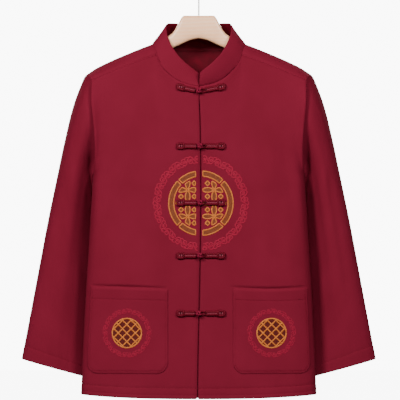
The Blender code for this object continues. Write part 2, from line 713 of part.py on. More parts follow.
def pocket(front, side, name):
    """A patch pocket made from the front's points, its mouth standing off a little."""
    shares = np.array([share for share in FRONT_COLUMNS if POCKET_INNER <= share <= POCKET_OUTER])
    across = (shares - POCKET_INNER) / (POCKET_OUTER - POCKET_INNER)
    corner = [1 - math.cos(math.radians(turn)) for turn in (0, 30, 60, 90)]
    rows = [POCKET_FOOT_Z + POCKET_CORNER * rise for rise in corner]
    rows += list(np.linspace(rows[-1], POCKET_MOUTH_Z, 6)[1:])
    outer, inner = [], []
    for z in rows:
        below = max(0.0, POCKET_FOOT_Z + POCKET_CORNER - z) / POCKET_CORNER
        narrowing = POCKET_CORNER * (1 - math.sqrt(max(0.0, 1 - below**2)))
        half_width = float(smooth(BODY["z"], BODY["half_width"], z))
        places = shares * half_width
        places = np.clip(places, places[0] + narrowing, places[-1] - narrowing)
        rise = (z - POCKET_FOOT_Z) / (POCKET_MOUTH_Z - POCKET_FOOT_Z)
        for x, share in zip(places, across):
            gape = POCKET_GAPE * rise**4 * math.sin(math.pi * share)
            y = depth_at(front, side * x, z) - POCKET_LIFT - gape
            inner.append((side * x, y, z))
            outer.append((side * x, y - POCKET_WALL, z))
    columns, count = len(across), len(outer)
    ids = np.arange(count).reshape(len(rows), columns)
    faces = []
    for r in range(len(rows) - 1):
        for c in range(columns - 1):
            a, b, d, e = ids[r, c], ids[r, c + 1], ids[r + 1, c + 1], ids[r + 1, c]
            faces += [(a, b, d), (a, d, e)]
            faces += [(d + count, b + count, a + count), (e + count, d + count, a + count)]
    rim = list(ids[0]) + list(ids[1:, -1]) + list(ids[-1, ::-1][1:]) + list(ids[::-1, 0][1:-1])
    for a, b in zip(rim, rim[1:] + rim[:1]):
        faces += [(b, a, a + count), (b, a + count, b + count)]
    if side < 0:
        faces = [face[::-1] for face in faces]
    solid(name, outer + inner, faces, "jacket_cloth")


def strap(fronts, name, ends, centre_z, arm_rise):
    """Two strands sewn side by side, from their folded outer end to the inner end."""
    outer_end, inner_end = ends
    inwards = math.copysign(1, inner_end - outer_end)
    fold = outer_end + inwards * FOLDED_END
    stations = [outer_end, outer_end + inwards * END_ROUNDING, fold - inwards * END_ROUNDING, fold]
    stations += list(np.linspace(fold, inner_end, 5)[1:])
    scales = [END_SCALE, FOLDED_END_SCALE, FOLDED_END_SCALE, 1, 1, 1, 1, 1]
    points, faces = [], []
    front = fronts[1 if outer_end > 0 else -1]
    for x, scale in zip(stations, scales):
        z = centre_z + arm_rise * (abs(x) / abs(outer_end)) ** ARM_RISE_POWER
        cloth = min(depth_at(front, x, z + side * 2 * STRAND_RADIUS) for side in (-1, 0, 1))
        for across, out in zip(STRAP_SECTION["across"], STRAP_SECTION["out"]):
            lift = (out - STRAP_UNDERSIDE) * STRAND_RADIUS * (scale if out > 0 else 1)
            points.append((x, cloth - FROG_LIFT - lift, z + across * STRAND_RADIUS * scale))
    size = len(STRAP_SECTION["out"])
    for r in range(len(stations) - 1):
        for c in range(size):
            d = (c + 1) % size
            a, b = r * size, (r + 1) * size
            faces += [(a + c, a + d, b + d, b + c)]
    faces += [tuple(range(size))[::-1], tuple(range(size * (len(stations) - 1), size * len(stations)))]
    if inwards < 0:
        faces = [face[::-1] for face in faces]
    return solid(name, points, faces, "frog_cord")


def knot(fronts, name, centre_z):
    """The ball knot, standing on the loop that it holds."""
    mesh = bpy.data.meshes.new(name)
    shape = bmesh.new()
    bmesh.ops.create_uvsphere(shape, u_segments=12, v_segments=7, radius=KNOT_RADIUS)
    cloth = min(depth_at(fronts[side], side * FRONT_EDGE, centre_z) for side in SIDES)
    standing = 2 * LOOP_CORD + FROG_LIFT + PIECE_GAP + KNOT_RADIUS * KNOT_FLATNESS
    for vertex in shape.verts:
        x, y, z = vertex.co
        vertex.co = (x + KNOT_X, cloth - standing + y * KNOT_FLATNESS, centre_z + z)
    shape.to_mesh(mesh)
    shape.free()
    mesh.shade_smooth()
    mesh.materials.append(finish(name, "frog_cord"))
    bpy.context.scene.collection.objects.link(bpy.data.objects.new(name, mesh))


def loop(fronts, name, centre_z):
    """The loop, from the left strap round the neck of the knot and back."""
    start = STRAP_LOOP_SIDE[1] - PIECE_GAP
    reach = (KNOT_X - LOOP_TURN, 0.5 * start, start)
    heights = (centre_z - LOOP_HALF_HEIGHT, centre_z + LOOP_HALF_HEIGHT)
    cloth = min(depth_at(fronts[1 if x > 0 else -1], x, z) for x in reach for z in heights)
    turn = [math.radians(a) for a in range(60, 301, 30)]
    flat = [(start, STRAND_RADIUS), (start * LOOP_START, STRAND_RADIUS), (start * 0.5, LOOP_TURN)]
    flat += [(KNOT_X + LOOP_TURN * math.cos(a), LOOP_TURN * math.sin(a)) for a in turn]
    flat += [(x, -z) for x, z in flat[2::-1]]
    path = [(x, cloth - FROG_LIFT - LOOP_CORD, centre_z + z) for x, z in flat]
    tube(name, path, LOOP_CORD, "frog_cord")


def hanger():
    """The wooden hanger: one shaped bar with a flat-topped neck."""
    angles = 2 * math.pi * (np.arange(HANGER_SIDES) + 0.5) / HANGER_SIDES
    power = 2 / HANGER_SQUARENESS
    across = np.sign(np.cos(angles)) * np.abs(np.cos(angles)) ** power
    up = np.sign(np.sin(angles)) * np.abs(np.sin(angles)) ** power
    stations = list(-HANGER["x"][:0:-1]) + list(HANGER["x"])
    points = []
    for x in stations:
        row = list(HANGER["x"]).index(abs(x))
        top, bottom = HANGER["top"][row], HANGER["bottom"][row]
        points += [
            (x, HANGER["half_depth"][row] * a, (top + bottom) / 2 + (top - bottom) / 2 * u)
            for a, u in zip(across, up)
        ]
    size = HANGER_SIDES
    faces = [tuple(range(size))[::-1], tuple(range(len(points) - size, len(points)))]
    for r in range(len(stations) - 1):
        for c in range(size):
            d = (c + 1) % size
            faces.append((r * size + c, r * size + d, (r + 1) * size + d, (r + 1) * size + c))
    solid("hanger", points, faces, "hanger_wood")


def hook():
    """The wire hook: a straight stem, a fillet and a round hook open on one side."""
    centre_z = WIRE / 2 - HOOK_RADIUS
    fillet_z = centre_z - math.sqrt(HOOK_RADIUS**2 + 2 * HOOK_RADIUS * HOOK_FILLET)
    join = math.degrees(math.atan2(fillet_z - centre_z, HOOK_FILLET))
    stem_foot = HANGER["top"][0] + PIECE_GAP
    path = [(0, stem_foot), (0, (stem_foot + fillet_z) / 2)]
    for turn in np.arange(180, 180 + join, -2 * HOOK_STEP):
        a = math.radians(turn)
        path.append((HOOK_FILLET * (1 + math.cos(a)), fillet_z + HOOK_FILLET * math.sin(a)))
    for turn in np.linspace(join, HOOK_TIP_ANGLE, int((HOOK_TIP_ANGLE - join) / HOOK_STEP) + 1):
        a = math.radians(turn)
        path.append((HOOK_RADIUS * math.cos(a), centre_z + HOOK_RADIUS * math.sin(a)))
    tube("hook", [(x, 0, z) for x, z in path], WIRE / 2, "hook_metal")


def main():
    """Build every piece under one empty."""
    clear_scene()
    fronts = jacket()
    for side, which in SIDES.items():
        pocket(fronts[side], side, "pocket_" + which)
    for number, (z, arm_rise) in enumerate(zip(FROGS["z"], FROGS["arm_rise"]), start=1):
        base = f"frog_{number}_"
        strap(fronts, base + "strap_right", STRAP_KNOT_SIDE, z, arm_rise)
        strap(fronts, base + "strap_left", STRAP_LOOP_SIDE, z, arm_rise)
        knot(fronts, base + "knot", z)
        loop(fronts, base + "loop", z)
    hanger()
    hook()
    root = bpy.data.objects.new("tang_jacket", None)
    bpy.context.scene.collection.objects.link(root)
    for obj in bpy.data.objects:
        if obj is not root:
            obj.parent = root


main()
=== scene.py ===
"""Tang jacket of soft wool cloth on a wooden hanger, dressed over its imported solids.

Metres, +Z up, the front towards -Y and the wearer's left at +X. The origin is where a
rail bears inside the top of the hook. The cloth repeats the solids' own grids and
refines them, so that every seam stays where the solids have it.
"""

import logging
import math
from collections.abc import Callable, Sequence
from dataclasses import dataclass, field
from enum import Enum

import bmesh
import bpy
import numpy as np
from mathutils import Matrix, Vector
from mathutils.bvhtree import BVHTree
from mathutils.geometry import delaunay_2d_cdt


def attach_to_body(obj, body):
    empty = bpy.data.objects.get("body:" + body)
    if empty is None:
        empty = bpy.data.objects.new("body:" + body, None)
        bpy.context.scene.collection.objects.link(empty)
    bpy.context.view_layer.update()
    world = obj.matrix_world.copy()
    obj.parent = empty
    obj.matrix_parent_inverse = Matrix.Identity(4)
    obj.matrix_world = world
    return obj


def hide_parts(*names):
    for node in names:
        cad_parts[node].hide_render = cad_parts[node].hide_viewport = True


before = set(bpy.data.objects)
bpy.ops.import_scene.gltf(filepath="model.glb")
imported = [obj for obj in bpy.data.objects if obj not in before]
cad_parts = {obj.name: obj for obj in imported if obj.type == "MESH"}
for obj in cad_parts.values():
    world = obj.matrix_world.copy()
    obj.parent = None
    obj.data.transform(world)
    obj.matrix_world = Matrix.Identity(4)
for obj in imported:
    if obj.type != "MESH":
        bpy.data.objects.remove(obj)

LOG = logging.getLogger("tang_jacket")
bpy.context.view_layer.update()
CLOTH_UV = "cloth"  # metres along and across the cloth
SIDES = {1: "left", -1: "right"}  # the wearer's left is at +X
SHARP_ANGLE = math.radians(42)
FORWARDS = Vector((0.0, -1.0, 0.0))
NECK_AXIS_Y = 0.012  # where the middle of the neck lies
LEVEL, UPRIGHT = np.array([1, 1, 0]), np.array([0, 0, 1])  # keep x and y, or z alone
TWILL_SLANT = 0.82  # slanting bands show this much closer than their period
SEAM_GAP = 0.00015
SEAM_STEPS = (0.0009, 0.0022, 0.0040)  # rows that shape the roll of a sewn edge
STITCH_SINK = 0.00035

Array = np.ndarray
Object = bpy.types.Object
Socket = bpy.types.NodeSocket
Tube = tuple[list[Vector], list[tuple[int, ...]], list[tuple[float, float]]]  # points, faces and corner UVs


class Slot(Enum):
    """The names of the solids' material slots."""

    CLOTH = "jacket_cloth"
    CORD = "frog_cord"
    WOOD = "hanger_wood"


# ---------------------------------------------------------------- finishes


def linear(colour: str) -> tuple[float, ...]:
    """The linear colour and full alpha of an sRGB hex value."""
    shares = [int(colour[i : i + 2], 16) / 255 for i in (1, 3, 5)]
    return (*(c / 12.92 if c <= 0.04045 else ((c + 0.055) / 1.055) ** 2.4 for c in shares), 1.0)


def add_node(
    tree: bpy.types.NodeTree, kind: str, settings: dict | None = None, inputs: dict | None = None
) -> bpy.types.Node:
    """Add a shader node, set it and link it.

    Args:
        tree: the material's node tree.
        kind: the node's type name.
        settings: properties of the node.
        inputs: a value or another node's output socket for each input.

    Returns:
        The new node.
    """
    node = tree.nodes.new(kind)
    for name, value in (settings or {}).items():
        setattr(node, name, value)
    for name, value in (inputs or {}).items():
        if isinstance(value, Socket):
            tree.links.new(value, node.inputs[name])
        else:
            node.inputs[name].default_value = value
    return node


@dataclass
class Bench:
    """The node tree of one material, with what every finish is made of."""

    tree: bpy.types.NodeTree

    def add(
        self, kind: str, settings: dict | None = None, inputs: dict | None = None, output: str | int = 0
    ) -> Socket:
        """Add a node and give one of its outputs."""
        return add_node(self.tree, kind, settings, inputs).outputs[output]

    def on_cloth(self) -> Socket:
        """Metres along and across the cloth."""
        return self.add("ShaderNodeUVMap", {"uv_map": CLOTH_UV})

    def on_object(self) -> Socket:
        """The object's own coordinates."""
        return self.add("ShaderNodeTexCoord", output="Object")

    def bands(
        self,
        place: Socket,
        period: float,
        distortion: float,
        detail: float,
        way: str = "DIAGONAL",
        finer: float = 1.0,
    ) -> Socket:
        """Woven or turned lines.

        Args:
            place: the coordinates.
            period: the distance between the lines, in millimetres.
            distortion: how unevenly they run.
            detail: how fine that unevenness is.
            way: the direction that they follow.
            finer: the scale of the unevenness.

        Returns:
            Their height.
        """
        scale = 0.31416 / (period / 1000)
        inputs = {"Vector": place, "Scale": scale, "Distortion": distortion, "Detail": detail}
        settings = {"bands_direction": way}
        return self.add("ShaderNodeTexWave", settings, {**inputs, "Detail Scale": finer}, "Fac")

    def noise(self, place: Socket, size: float, detail: float, rough: float = 0.5) -> Socket:
        """Grains of about a size in millimetres."""
        inputs = {"Vector": place, "Scale": 1000 / size, "Detail": detail, "Roughness": rough}
        return self.add("ShaderNodeTexNoise", {}, inputs)

    def levels(self, value: Socket, low: float, high: float, to_low: float, to_high: float) -> Socket:
        """Stretch a value from one range to another, clamped."""
        return self.add("ShaderNodeMapRange", {}, {0: value, 1: low, 2: high, 3: to_low, 4: to_high})

    def shade(
        self,
        value: Socket,
        levels: tuple[float, float, float, float],
        low: str | Socket,
        high: str | Socket,
    ) -> Socket:
        """Mix two colours by a value.

        Args:
            value: what says where each colour lies.
            levels: the range that is read, and the shares of the second colour that it becomes.
            low: the first colour, as hex or a socket.
            high: the second colour, as hex or a socket.

        Returns:
            The mixed colour.
        """
        colours = [linear(c) if isinstance(c, str) else c for c in (low, high)]
        inputs = {0: self.levels(value, *levels), 6: colours[0], 7: colours[1]}
        return self.add("ShaderNodeMix", {"data_type": "RGBA", "blend_type": "MIX"}, inputs, 2)

    def feed(
        self, colour: Socket, rough: Socket, relief: tuple[Socket, float, float], plain: dict[str, object]
    ) -> None:
        """Feed the shader.

        Args:
            colour: its colour.
            rough: its roughness.
            relief: a height, the strength of its relief and its depth in metres.
            plain: the plain values of other inputs.
        """
        shader = self.tree.nodes["Principled BSDF"]
        bump = self.add("ShaderNodeBump", {}, dict(zip(("Height", "Strength", "Distance"), relief)))
        for name, socket in {"Base Color": colour, "Roughness": rough, "Normal": bump}.items():
            self.tree.links.new(socket, shader.inputs[name])
        for name, value in plain.items():
            shader.inputs[name].default_value = value


class Finish:
    """A finish that is made into one material, once."""

    name: str
    made: dict[str, bpy.types.Material] = {}

    def material(self) -> bpy.types.Material:
        """The finish's material, made at its first use.

        Returns:
            The material.
        """
        if self.name not in Finish.made:
            material = bpy.data.materials.new(self.name)
            material.use_nodes = True
            self.dress(Bench(material.node_tree))
            Finish.made[self.name] = material
        return Finish.made[self.name]

    def dress(self, bench: Bench) -> None:
        """Give the material its colours, gloss and relief."""
        raise NotImplementedError


@dataclass(frozen=True)
class WoolCloth(Finish):
    """Wool melton: a twill woven, then fulled and brushed, so a short nap hides the threads.

    It gives a matt, deep colour with a faint light bloom where the cloth turns away.
    """

    name: str
    colour: str
    light: str
    dark: str
    line_mm: float = 1.3  # the real 0.6 mm twill line, drawn coarser so that it shows
    nap_mm: float = 2.2
    cloud_mm: float = 90
    relief: float = 0.00012
    bloom: str = "#C03A54"

    def dress(self, bench: Bench) -> None:
        """Give the material its colours, gloss and relief.

        Args:
            bench: where the material's nodes are made.
        """
        place = bench.on_cloth()
        twill = bench.bands(place, self.line_mm / TWILL_SLANT, 1.6, 2.0, finer=0.6)
        nap = bench.noise(place, self.nap_mm, 6.0, 0.66)
        cloud = bench.noise(place, self.cloud_mm, 2.0)
        ground = bench.shade(cloud, (0.35, 0.65, 0, 0.6), self.colour, self.light)
        fibres = bench.shade(nap, (0.42, 0.78, 0, 0.55), ground, self.light)
        lines = bench.shade(twill, (0.0, 0.5, 0.40, 0.0), fibres, self.dark)
        rough = bench.levels(nap, 0.3, 0.7, 0.78, 0.94)
        height = bench.add("ShaderNodeMath", {"operation": "MULTIPLY_ADD"}, {0: nap, 1: 1.3, 2: twill})
        sheen = {"Sheen Weight": 0.02, "Sheen Roughness": 0.45, "Sheen Tint": linear(self.bloom)}
        bench.feed(lines, rough, (height, 0.55, self.relief), {**sheen, "Specular IOR Level": 0.08})


@dataclass(frozen=True)
class LiningTwill(Finish):
    """Viscose twill lining, woven smooth: a soft silky gloss with fine diagonal lines."""

    name: str = "viscose_twill_lining"
    colour: str = "#4C0412"
    light: str = "#62081A"

    def dress(self, bench: Bench) -> None:
        """Give the material its colours, gloss and relief.

        Args:
            bench: where the material's nodes are made.
        """
        place = bench.on_cloth()
        lines = bench.bands(place, 1.0, 0.4, 1.0)
        slub = bench.noise(place, 14, 3.0)
        shade = bench.shade(slub, (0.35, 0.7, 0, 0.6), self.colour, self.light)
        colour = bench.shade(lines, (0.4, 1.0, 0, 0.35), shade, self.light)
        rough = bench.levels(slub, 0.3, 0.7, 0.6, 0.72)
        bench.feed(colour, rough, (lines, 0.4, 0.00008), {"Specular IOR Level": 0.08})


@dataclass(frozen=True)
class SatinCord(Finish):
    """Bias-cut satin tube sewn over a cotton core: a low gloss with slanting fold lines."""

    name: str
    colour: str
    light: str
    dark: str
    turn_mm: float = 2.4

    def dress(self, bench: Bench) -> None:
        """Give the material its colours, gloss and relief.

        Args:
            bench: where the material's nodes are made.
        """
        place = bench.on_cloth()
        fold = bench.bands(place, self.turn_mm, 1.2, 2.0)
        fibre = bench.noise(place, 0.9, 3.0, 0.6)
        body = bench.shade(fold, (0.1, 0.8, 0, 1), self.dark, self.colour)
        colour = bench.shade(fibre, (0.5, 0.8, 0, 0.5), body, self.light)
        rough = bench.levels(fibre, 0.3, 0.7, 0.42, 0.60)
        bench.feed(colour, rough, (fold, 0.5, 0.0002), {"Specular IOR Level": 0.06})


@dataclass(frozen=True)
class SatinStitch(Finish):
    """Rayon embroidery thread laid side by side: bright along the thread, with fine ribs."""

    name: str
    colour: str
    light: str
    dark: str
    gloss: float = 0.38
    thread_mm: float = 0.9  # the real 0.4 mm thread, drawn coarser so that it shows

    def dress(self, bench: Bench) -> None:
        """Give the material its colours, gloss and relief.

        Args:
            bench: where the material's nodes are made.
        """
        place = bench.on_cloth()
        rib = bench.bands(place, self.thread_mm, 0.8, 1.0, "X")
        lot = bench.noise(place, 5, 3.0, 0.6)
        shade = bench.shade(lot, (0.38, 0.66, 0, 0.8), self.colour, self.light)
        colour = bench.shade(rib, (0.0, 0.45, 0.6, 0.0), shade, self.dark)
        rough = bench.levels(lot, 0.3, 0.7, self.gloss, self.gloss + 0.14)
        bench.feed(colour, rough, (rib, 0.6, 0.00018), {"Anisotropic": 0.4, "Specular IOR Level": 0.2})


@dataclass(frozen=True)
class BeechWood(Finish):
    """Beech, turned and sanded under clear lacquer: pale, with fine flecks along the bar."""

    name: str = "lacquered_beech"
    colour: str = "#FFBE8C"
    light: str = "#FFC89C"
    dark: str = "#E8A67A"
    ring_mm: float = 7.0
    fleck_mm: float = 1.6
    stain_mm: float = 45
    grain_turn: tuple[float, ...] = (0.0, 0.42, 0.03)
    grain_stretch: tuple[float, ...] = (0.10, 1.0, 1.0)

    def dress(self, bench: Bench) -> None:
        """Give the material its colours, gloss and relief.

        Args:
            bench: where the material's nodes are made.
        """
        place = bench.on_object()
        turned = {"Vector": place, "Rotation": self.grain_turn, "Scale": self.grain_stretch}
        stretched = bench.add("ShaderNodeMapping", {}, turned)
        ring = bench.bands(stretched, self.ring_mm, 3.5, 3.0, "Z", 1.4)
        fleck = bench.noise(stretched, self.fleck_mm, 4.0, 0.7)
        stain = bench.noise(place, self.stain_mm, 2.0)
        body = bench.shade(ring, (0.2, 0.9, 0.0, 0.8), self.light, self.colour)
        warm = bench.shade(stain, (0.4, 0.7, 0.0, 0.3), body, self.dark)
        colour = bench.shade(fleck, (0.55, 0.72, 0.0, 0.65), warm, self.dark)
        rough = bench.levels(fleck, 0.4, 0.7, 0.34, 0.48)
        bench.feed(colour, rough, (fleck, 0.25, 0.0002), {"Coat Weight": 0.12, "Coat Roughness": 0.22})


@dataclass(frozen=True)
class PlatedSteel(Finish):
    """Bright zinc-plated steel wire, drawn: a soft mirror with fine lines and dull rub marks."""

    name: str = "plated_steel_wire"
    colour: str = "#F0EEE8"
    dark: str = "#CFCCC4"
    rub_mm: float = 4.0

    def dress(self, bench: Bench) -> None:
        """Give the material its colours, gloss and relief.

        Args:
            bench: where the material's nodes are made.
        """
        rub = bench.noise(bench.on_object(), self.rub_mm, 5.0, 0.6)
        colour = bench.shade(rub, (0.45, 0.75, 0.0, 0.7), self.colour, self.dark)
        rough = bench.levels(rub, 0.35, 0.75, 0.3, 0.5)
        bench.feed(colour, rough, (rub, 0.15, 0.0001), {"Metallic": 0.85})


@dataclass(frozen=True)
class StudioPaper(Finish):
    """Matt, self-lit panel of a studio floor: plain, pale and even."""

    name: str = "studio_paper"
    colour: str = "#F6F6F6"
    glow: float = 9.2

    def dress(self, bench: Bench) -> None:
        """Give the material its colour, glow and tooth.

        Args:
            bench: where the material's nodes are made.
        """
        tooth = bench.noise(bench.on_object(), 3, 3.0)
        shader = bench.tree.nodes["Principled BSDF"]
        for name in ("Base Color", "Emission Color"):
            shader.inputs[name].default_value = linear(self.colour)
        shader.inputs["Emission Strength"].default_value = self.glow
        bench.tree.links.new(bench.levels(tooth, 0.3, 0.7, 0.9, 1.0), shader.inputs["Roughness"])


WOOL = WoolCloth("wine_red_wool_melton", "#651123", "#6E1529", "#4C0817")
COLLAR_WOOL = WoolCloth("wine_red_wool_collar", "#651123", "#6E1529", "#4C0817", 1.5)
LINING = LiningTwill()
FROG_SATIN = SatinCord("wine_red_satin_cord", "#5E081A", "#8C1C36", "#38040C")
# painted shade: a dark cord that stands in for the shadow beside each knot and loop
PAINTED_SHADE_CORD = SatinCord("dark_wine_satin_binding", "#4A0612", "#6A0E22", "#2A0209")
# painted highlight: a lighter copy of the frog cord for the knot ball, for the light that the raised ball
# catches
LIT_KNOT_SATIN = SatinCord("rose_wine_satin_painted_highlight", "#7A1630", "#9A2C48", "#4A0816")
# painted highlight: lighter cords laid on the frog straps where the cord's edges catch the light
PAINTED_HIGHLIGHT_CORD = SatinCord("rose_satin_painted_highlight", "#8A3A48", "#A25C66", "#642030", 1.6)
SEWING_THREAD = SatinCord("wine_red_sewing_thread", "#6C0F20", "#8E2035", "#48060F", 1.0)
GOLD_THREAD = SatinStitch("gold_rayon_thread", "#AE5A18", "#C4742C", "#78380C")
AMBER_THREAD = SatinStitch("amber_rayon_thread", "#642A0A", "#743410", "#441A05", 0.5)
RUSSET_THREAD = SatinStitch("russet_rayon_thread", "#480904", "#560E06", "#300402", 0.6)
CRIMSON_THREAD = SatinStitch("crimson_rayon_thread", "#800626", "#940A2E", "#5E0418", 0.65)
BEECH = BeechWood()
STEEL = PlatedSteel()
PAPER = StudioPaper()


# ---------------------------------------------------------------- tables, curves and grids


def table(columns: str, rows: str) -> dict[str, Array]:
    """The columns of a short table of numbers, by name; its rows end in semicolons."""
    return dict(zip(columns.split(), np.array([row.split() for row in rows.split(";")], dtype=float).T))


def spline(knots: Array, values: Array, at: Array) -> Array:
    """A smooth curve through rows of values.

    Args:
        knots: where each row lies, rising.
        values: the rows.
        at: where to read, inside the knots.

    Returns:
        The rows read there.
    """
    slopes = np.gradient(values, knots, axis=0)
    i = np.clip(np.searchsorted(knots, at) - 1, 0, len(knots) - 2)
    span = knots[i + 1] - knots[i]
    t = (at - knots[i]) / span
    shape = np.shape(t) + (1,) * (np.ndim(values) - 1)
    t, span = np.reshape(t, shape), np.reshape(span, shape)
    return (
        (2 * t**3 - 3 * t**2 + 1) * values[i]
        + (t**3 - 2 * t**2 + t) * span * slopes[i]
        + (3 * t**2 - 2 * t**3) * values[i + 1]
        + (t**3 - t**2) * span * slopes[i + 1]
    )


def smooth(xs: Array, ys: Array, at: object) -> Array:
    """A smooth curve through the points (xs, ys), rising or falling, read at one or many places.

    Args:
        xs: the points' places, in order.
        ys: their values.
        at: the places to read at.

    Returns:
        The values there.
    """
    if xs[0] > xs[-1]:
        xs, ys = xs[::-1], ys[::-1]
    return spline(xs, ys, np.clip(at, xs[0], xs[-1]))


def broken(knots: Array, values: Array, at: Array, corners: Sequence[int]) -> Array:
    """A smooth curve through rows of values that turns sharply at some of them.

    Args:
        knots: where each row lies, rising.
        values: the rows.
        at: where to read, inside the knots.
        corners: the numbers of the rows where the curve turns.

    Returns:
        The rows read there.
    """
    ends = [0, *corners, len(knots) - 1]
    parts = []
    for a, b in zip(ends, ends[1:]):
        last = b == ends[-1]
        inside = at[(at >= knots[a]) & ((at <= knots[b]) if last else (at < knots[b]))]
        if b - a == 1:
            share = ((inside - knots[a]) / (knots[b] - knots[a])).reshape((-1,) + (1,) * (values.ndim - 1))
            parts.append((1 - share) * values[a] + share * values[b])
        else:
            parts.append(spline(knots[a : b + 1], values[a : b + 1], inside))
    return np.concatenate(parts)


def crosswise(knots: Array, grid: Array, at: Array) -> Array:
    """A smooth surface through a grid, read at places across its columns."""
    return spline(knots, grid.transpose(1, 0, 2), at).transpose(1, 0, 2)


def lengths_of(line: Array) -> Array:
    """How far along a line each of its points lies."""
    return np.concatenate([[0], np.cumsum(np.linalg.norm(np.diff(line, axis=0), axis=1))])


def row_lengths(grid: Array) -> Array:
    """How far along its own row each point of a grid lies."""
    steps = np.linalg.norm(np.diff(grid, axis=1), axis=2)
    return np.concatenate([np.zeros((len(grid), 1)), np.cumsum(steps, axis=1)], axis=1)


def mean_lengths(grid: Array) -> Array:
    """The mean distance of each row of a grid from its first row."""
    return np.concatenate([[0], np.cumsum(np.linalg.norm(np.diff(grid, axis=0), axis=2).mean(axis=1))])


def along(curve: dict[str, Array], shares: Array) -> Array:
    """Points at shares of the length of a smooth curve through a table's x, y, z.

    Args:
        curve: a table with columns x, y and z.
        shares: shares of the length, 0 to 1.

    Returns:
        A point for each share.
    """
    corners = np.stack([curve[k] for k in "xyz"], axis=1)
    knots = lengths_of(corners)
    path = spline(knots, corners, np.linspace(0, knots[-1], 200))
    lengths = lengths_of(path)
    return np.stack([np.interp(shares * lengths[-1], lengths, path[:, k]) for k in range(3)], axis=1)


def even(count: int) -> Array:
    """Shares from 0 to 1 in a number of equal steps."""
    return np.linspace(0, 1, count + 1)


def ramp(distance: Array, width: float) -> Array:
    """0 up to a line and 1 from a width past it, by the distance from the line."""
    return np.clip(distance / width, 0, 1)


def bell(distance: Array, reach: float) -> Array:
    """1 on a line, fading softly on both sides of it."""
    return np.exp(-((distance / reach) ** 2))


def window(z: object, top: float, bottom: float, fade: float) -> Array:
    """1 between top and bottom, fading softly to 0 past each."""
    rise = ramp(top - z, fade) * ramp(z - bottom, fade)
    return rise * rise * (3 - 2 * rise)


def unit(vectors: Array) -> Array:
    """The directions of vectors."""
    return vectors / np.linalg.norm(vectors, axis=-1, keepdims=True)


def mirrored(side: int) -> Array:
    """What brings +X points to one side."""
    return np.array([side, 1, 1])


def to_neck_axis(points: Array) -> Array:
    """The level direction from each point to the middle of the neck."""
    return unit((np.array([0, NECK_AXIS_Y, 0]) - points) * LEVEL)


def patch(bottom: Array, top: Array, left: Array, right: Array) -> Array:
    """A smooth grid between four edges, from bottom to top and from left to right.

    Args:
        bottom: the first row.
        top: the last row.
        left: the first column.
        right: the last column.

    Returns:
        The grid, rows by columns by x, y, z.
    """
    across, up = (
        sum(lengths_of(edge) / lengths_of(edge)[-1] for edge in pair)
        for pair in ((bottom, top), (left, right))
    )
    u, v = across[None, :, None] / 2, up[:, None, None] / 2
    between = (1 - v) * bottom[None] + v * top[None] + (1 - u) * left[:, None] + u * right[:, None]
    corners = (1 - v) * ((1 - u) * bottom[0] + u * bottom[-1]) + v * ((1 - u) * top[0] + u * top[-1])
    return between - corners


def stations(
    length: float, spacing: float, near_edges: Sequence[float] = (), lines: Sequence[float] = ()
) -> Array:
    """Where the rows of a refined grid lie along its length.

    Args:
        length: the whole length.
        spacing: the widest step.
        near_edges: distances from both ends that have a row.
        lines: other places that have a row, from the start.

    Returns:
        The places, rising from 0 to the length.
    """
    wanted = {0.0, length, *near_edges, *(length - d for d in near_edges), *lines}
    wanted = sorted(d for d in wanted if 0 <= d <= length)
    places = [wanted[0]]
    for start, end in zip(wanted, wanted[1:]):
        if end - start >= 1e-5:
            places += list(np.linspace(start, end, max(1, math.ceil((end - start) / spacing)) + 1)[1:])
    return np.array(places)


# ---------------------------------------------------------------- the jacket's form


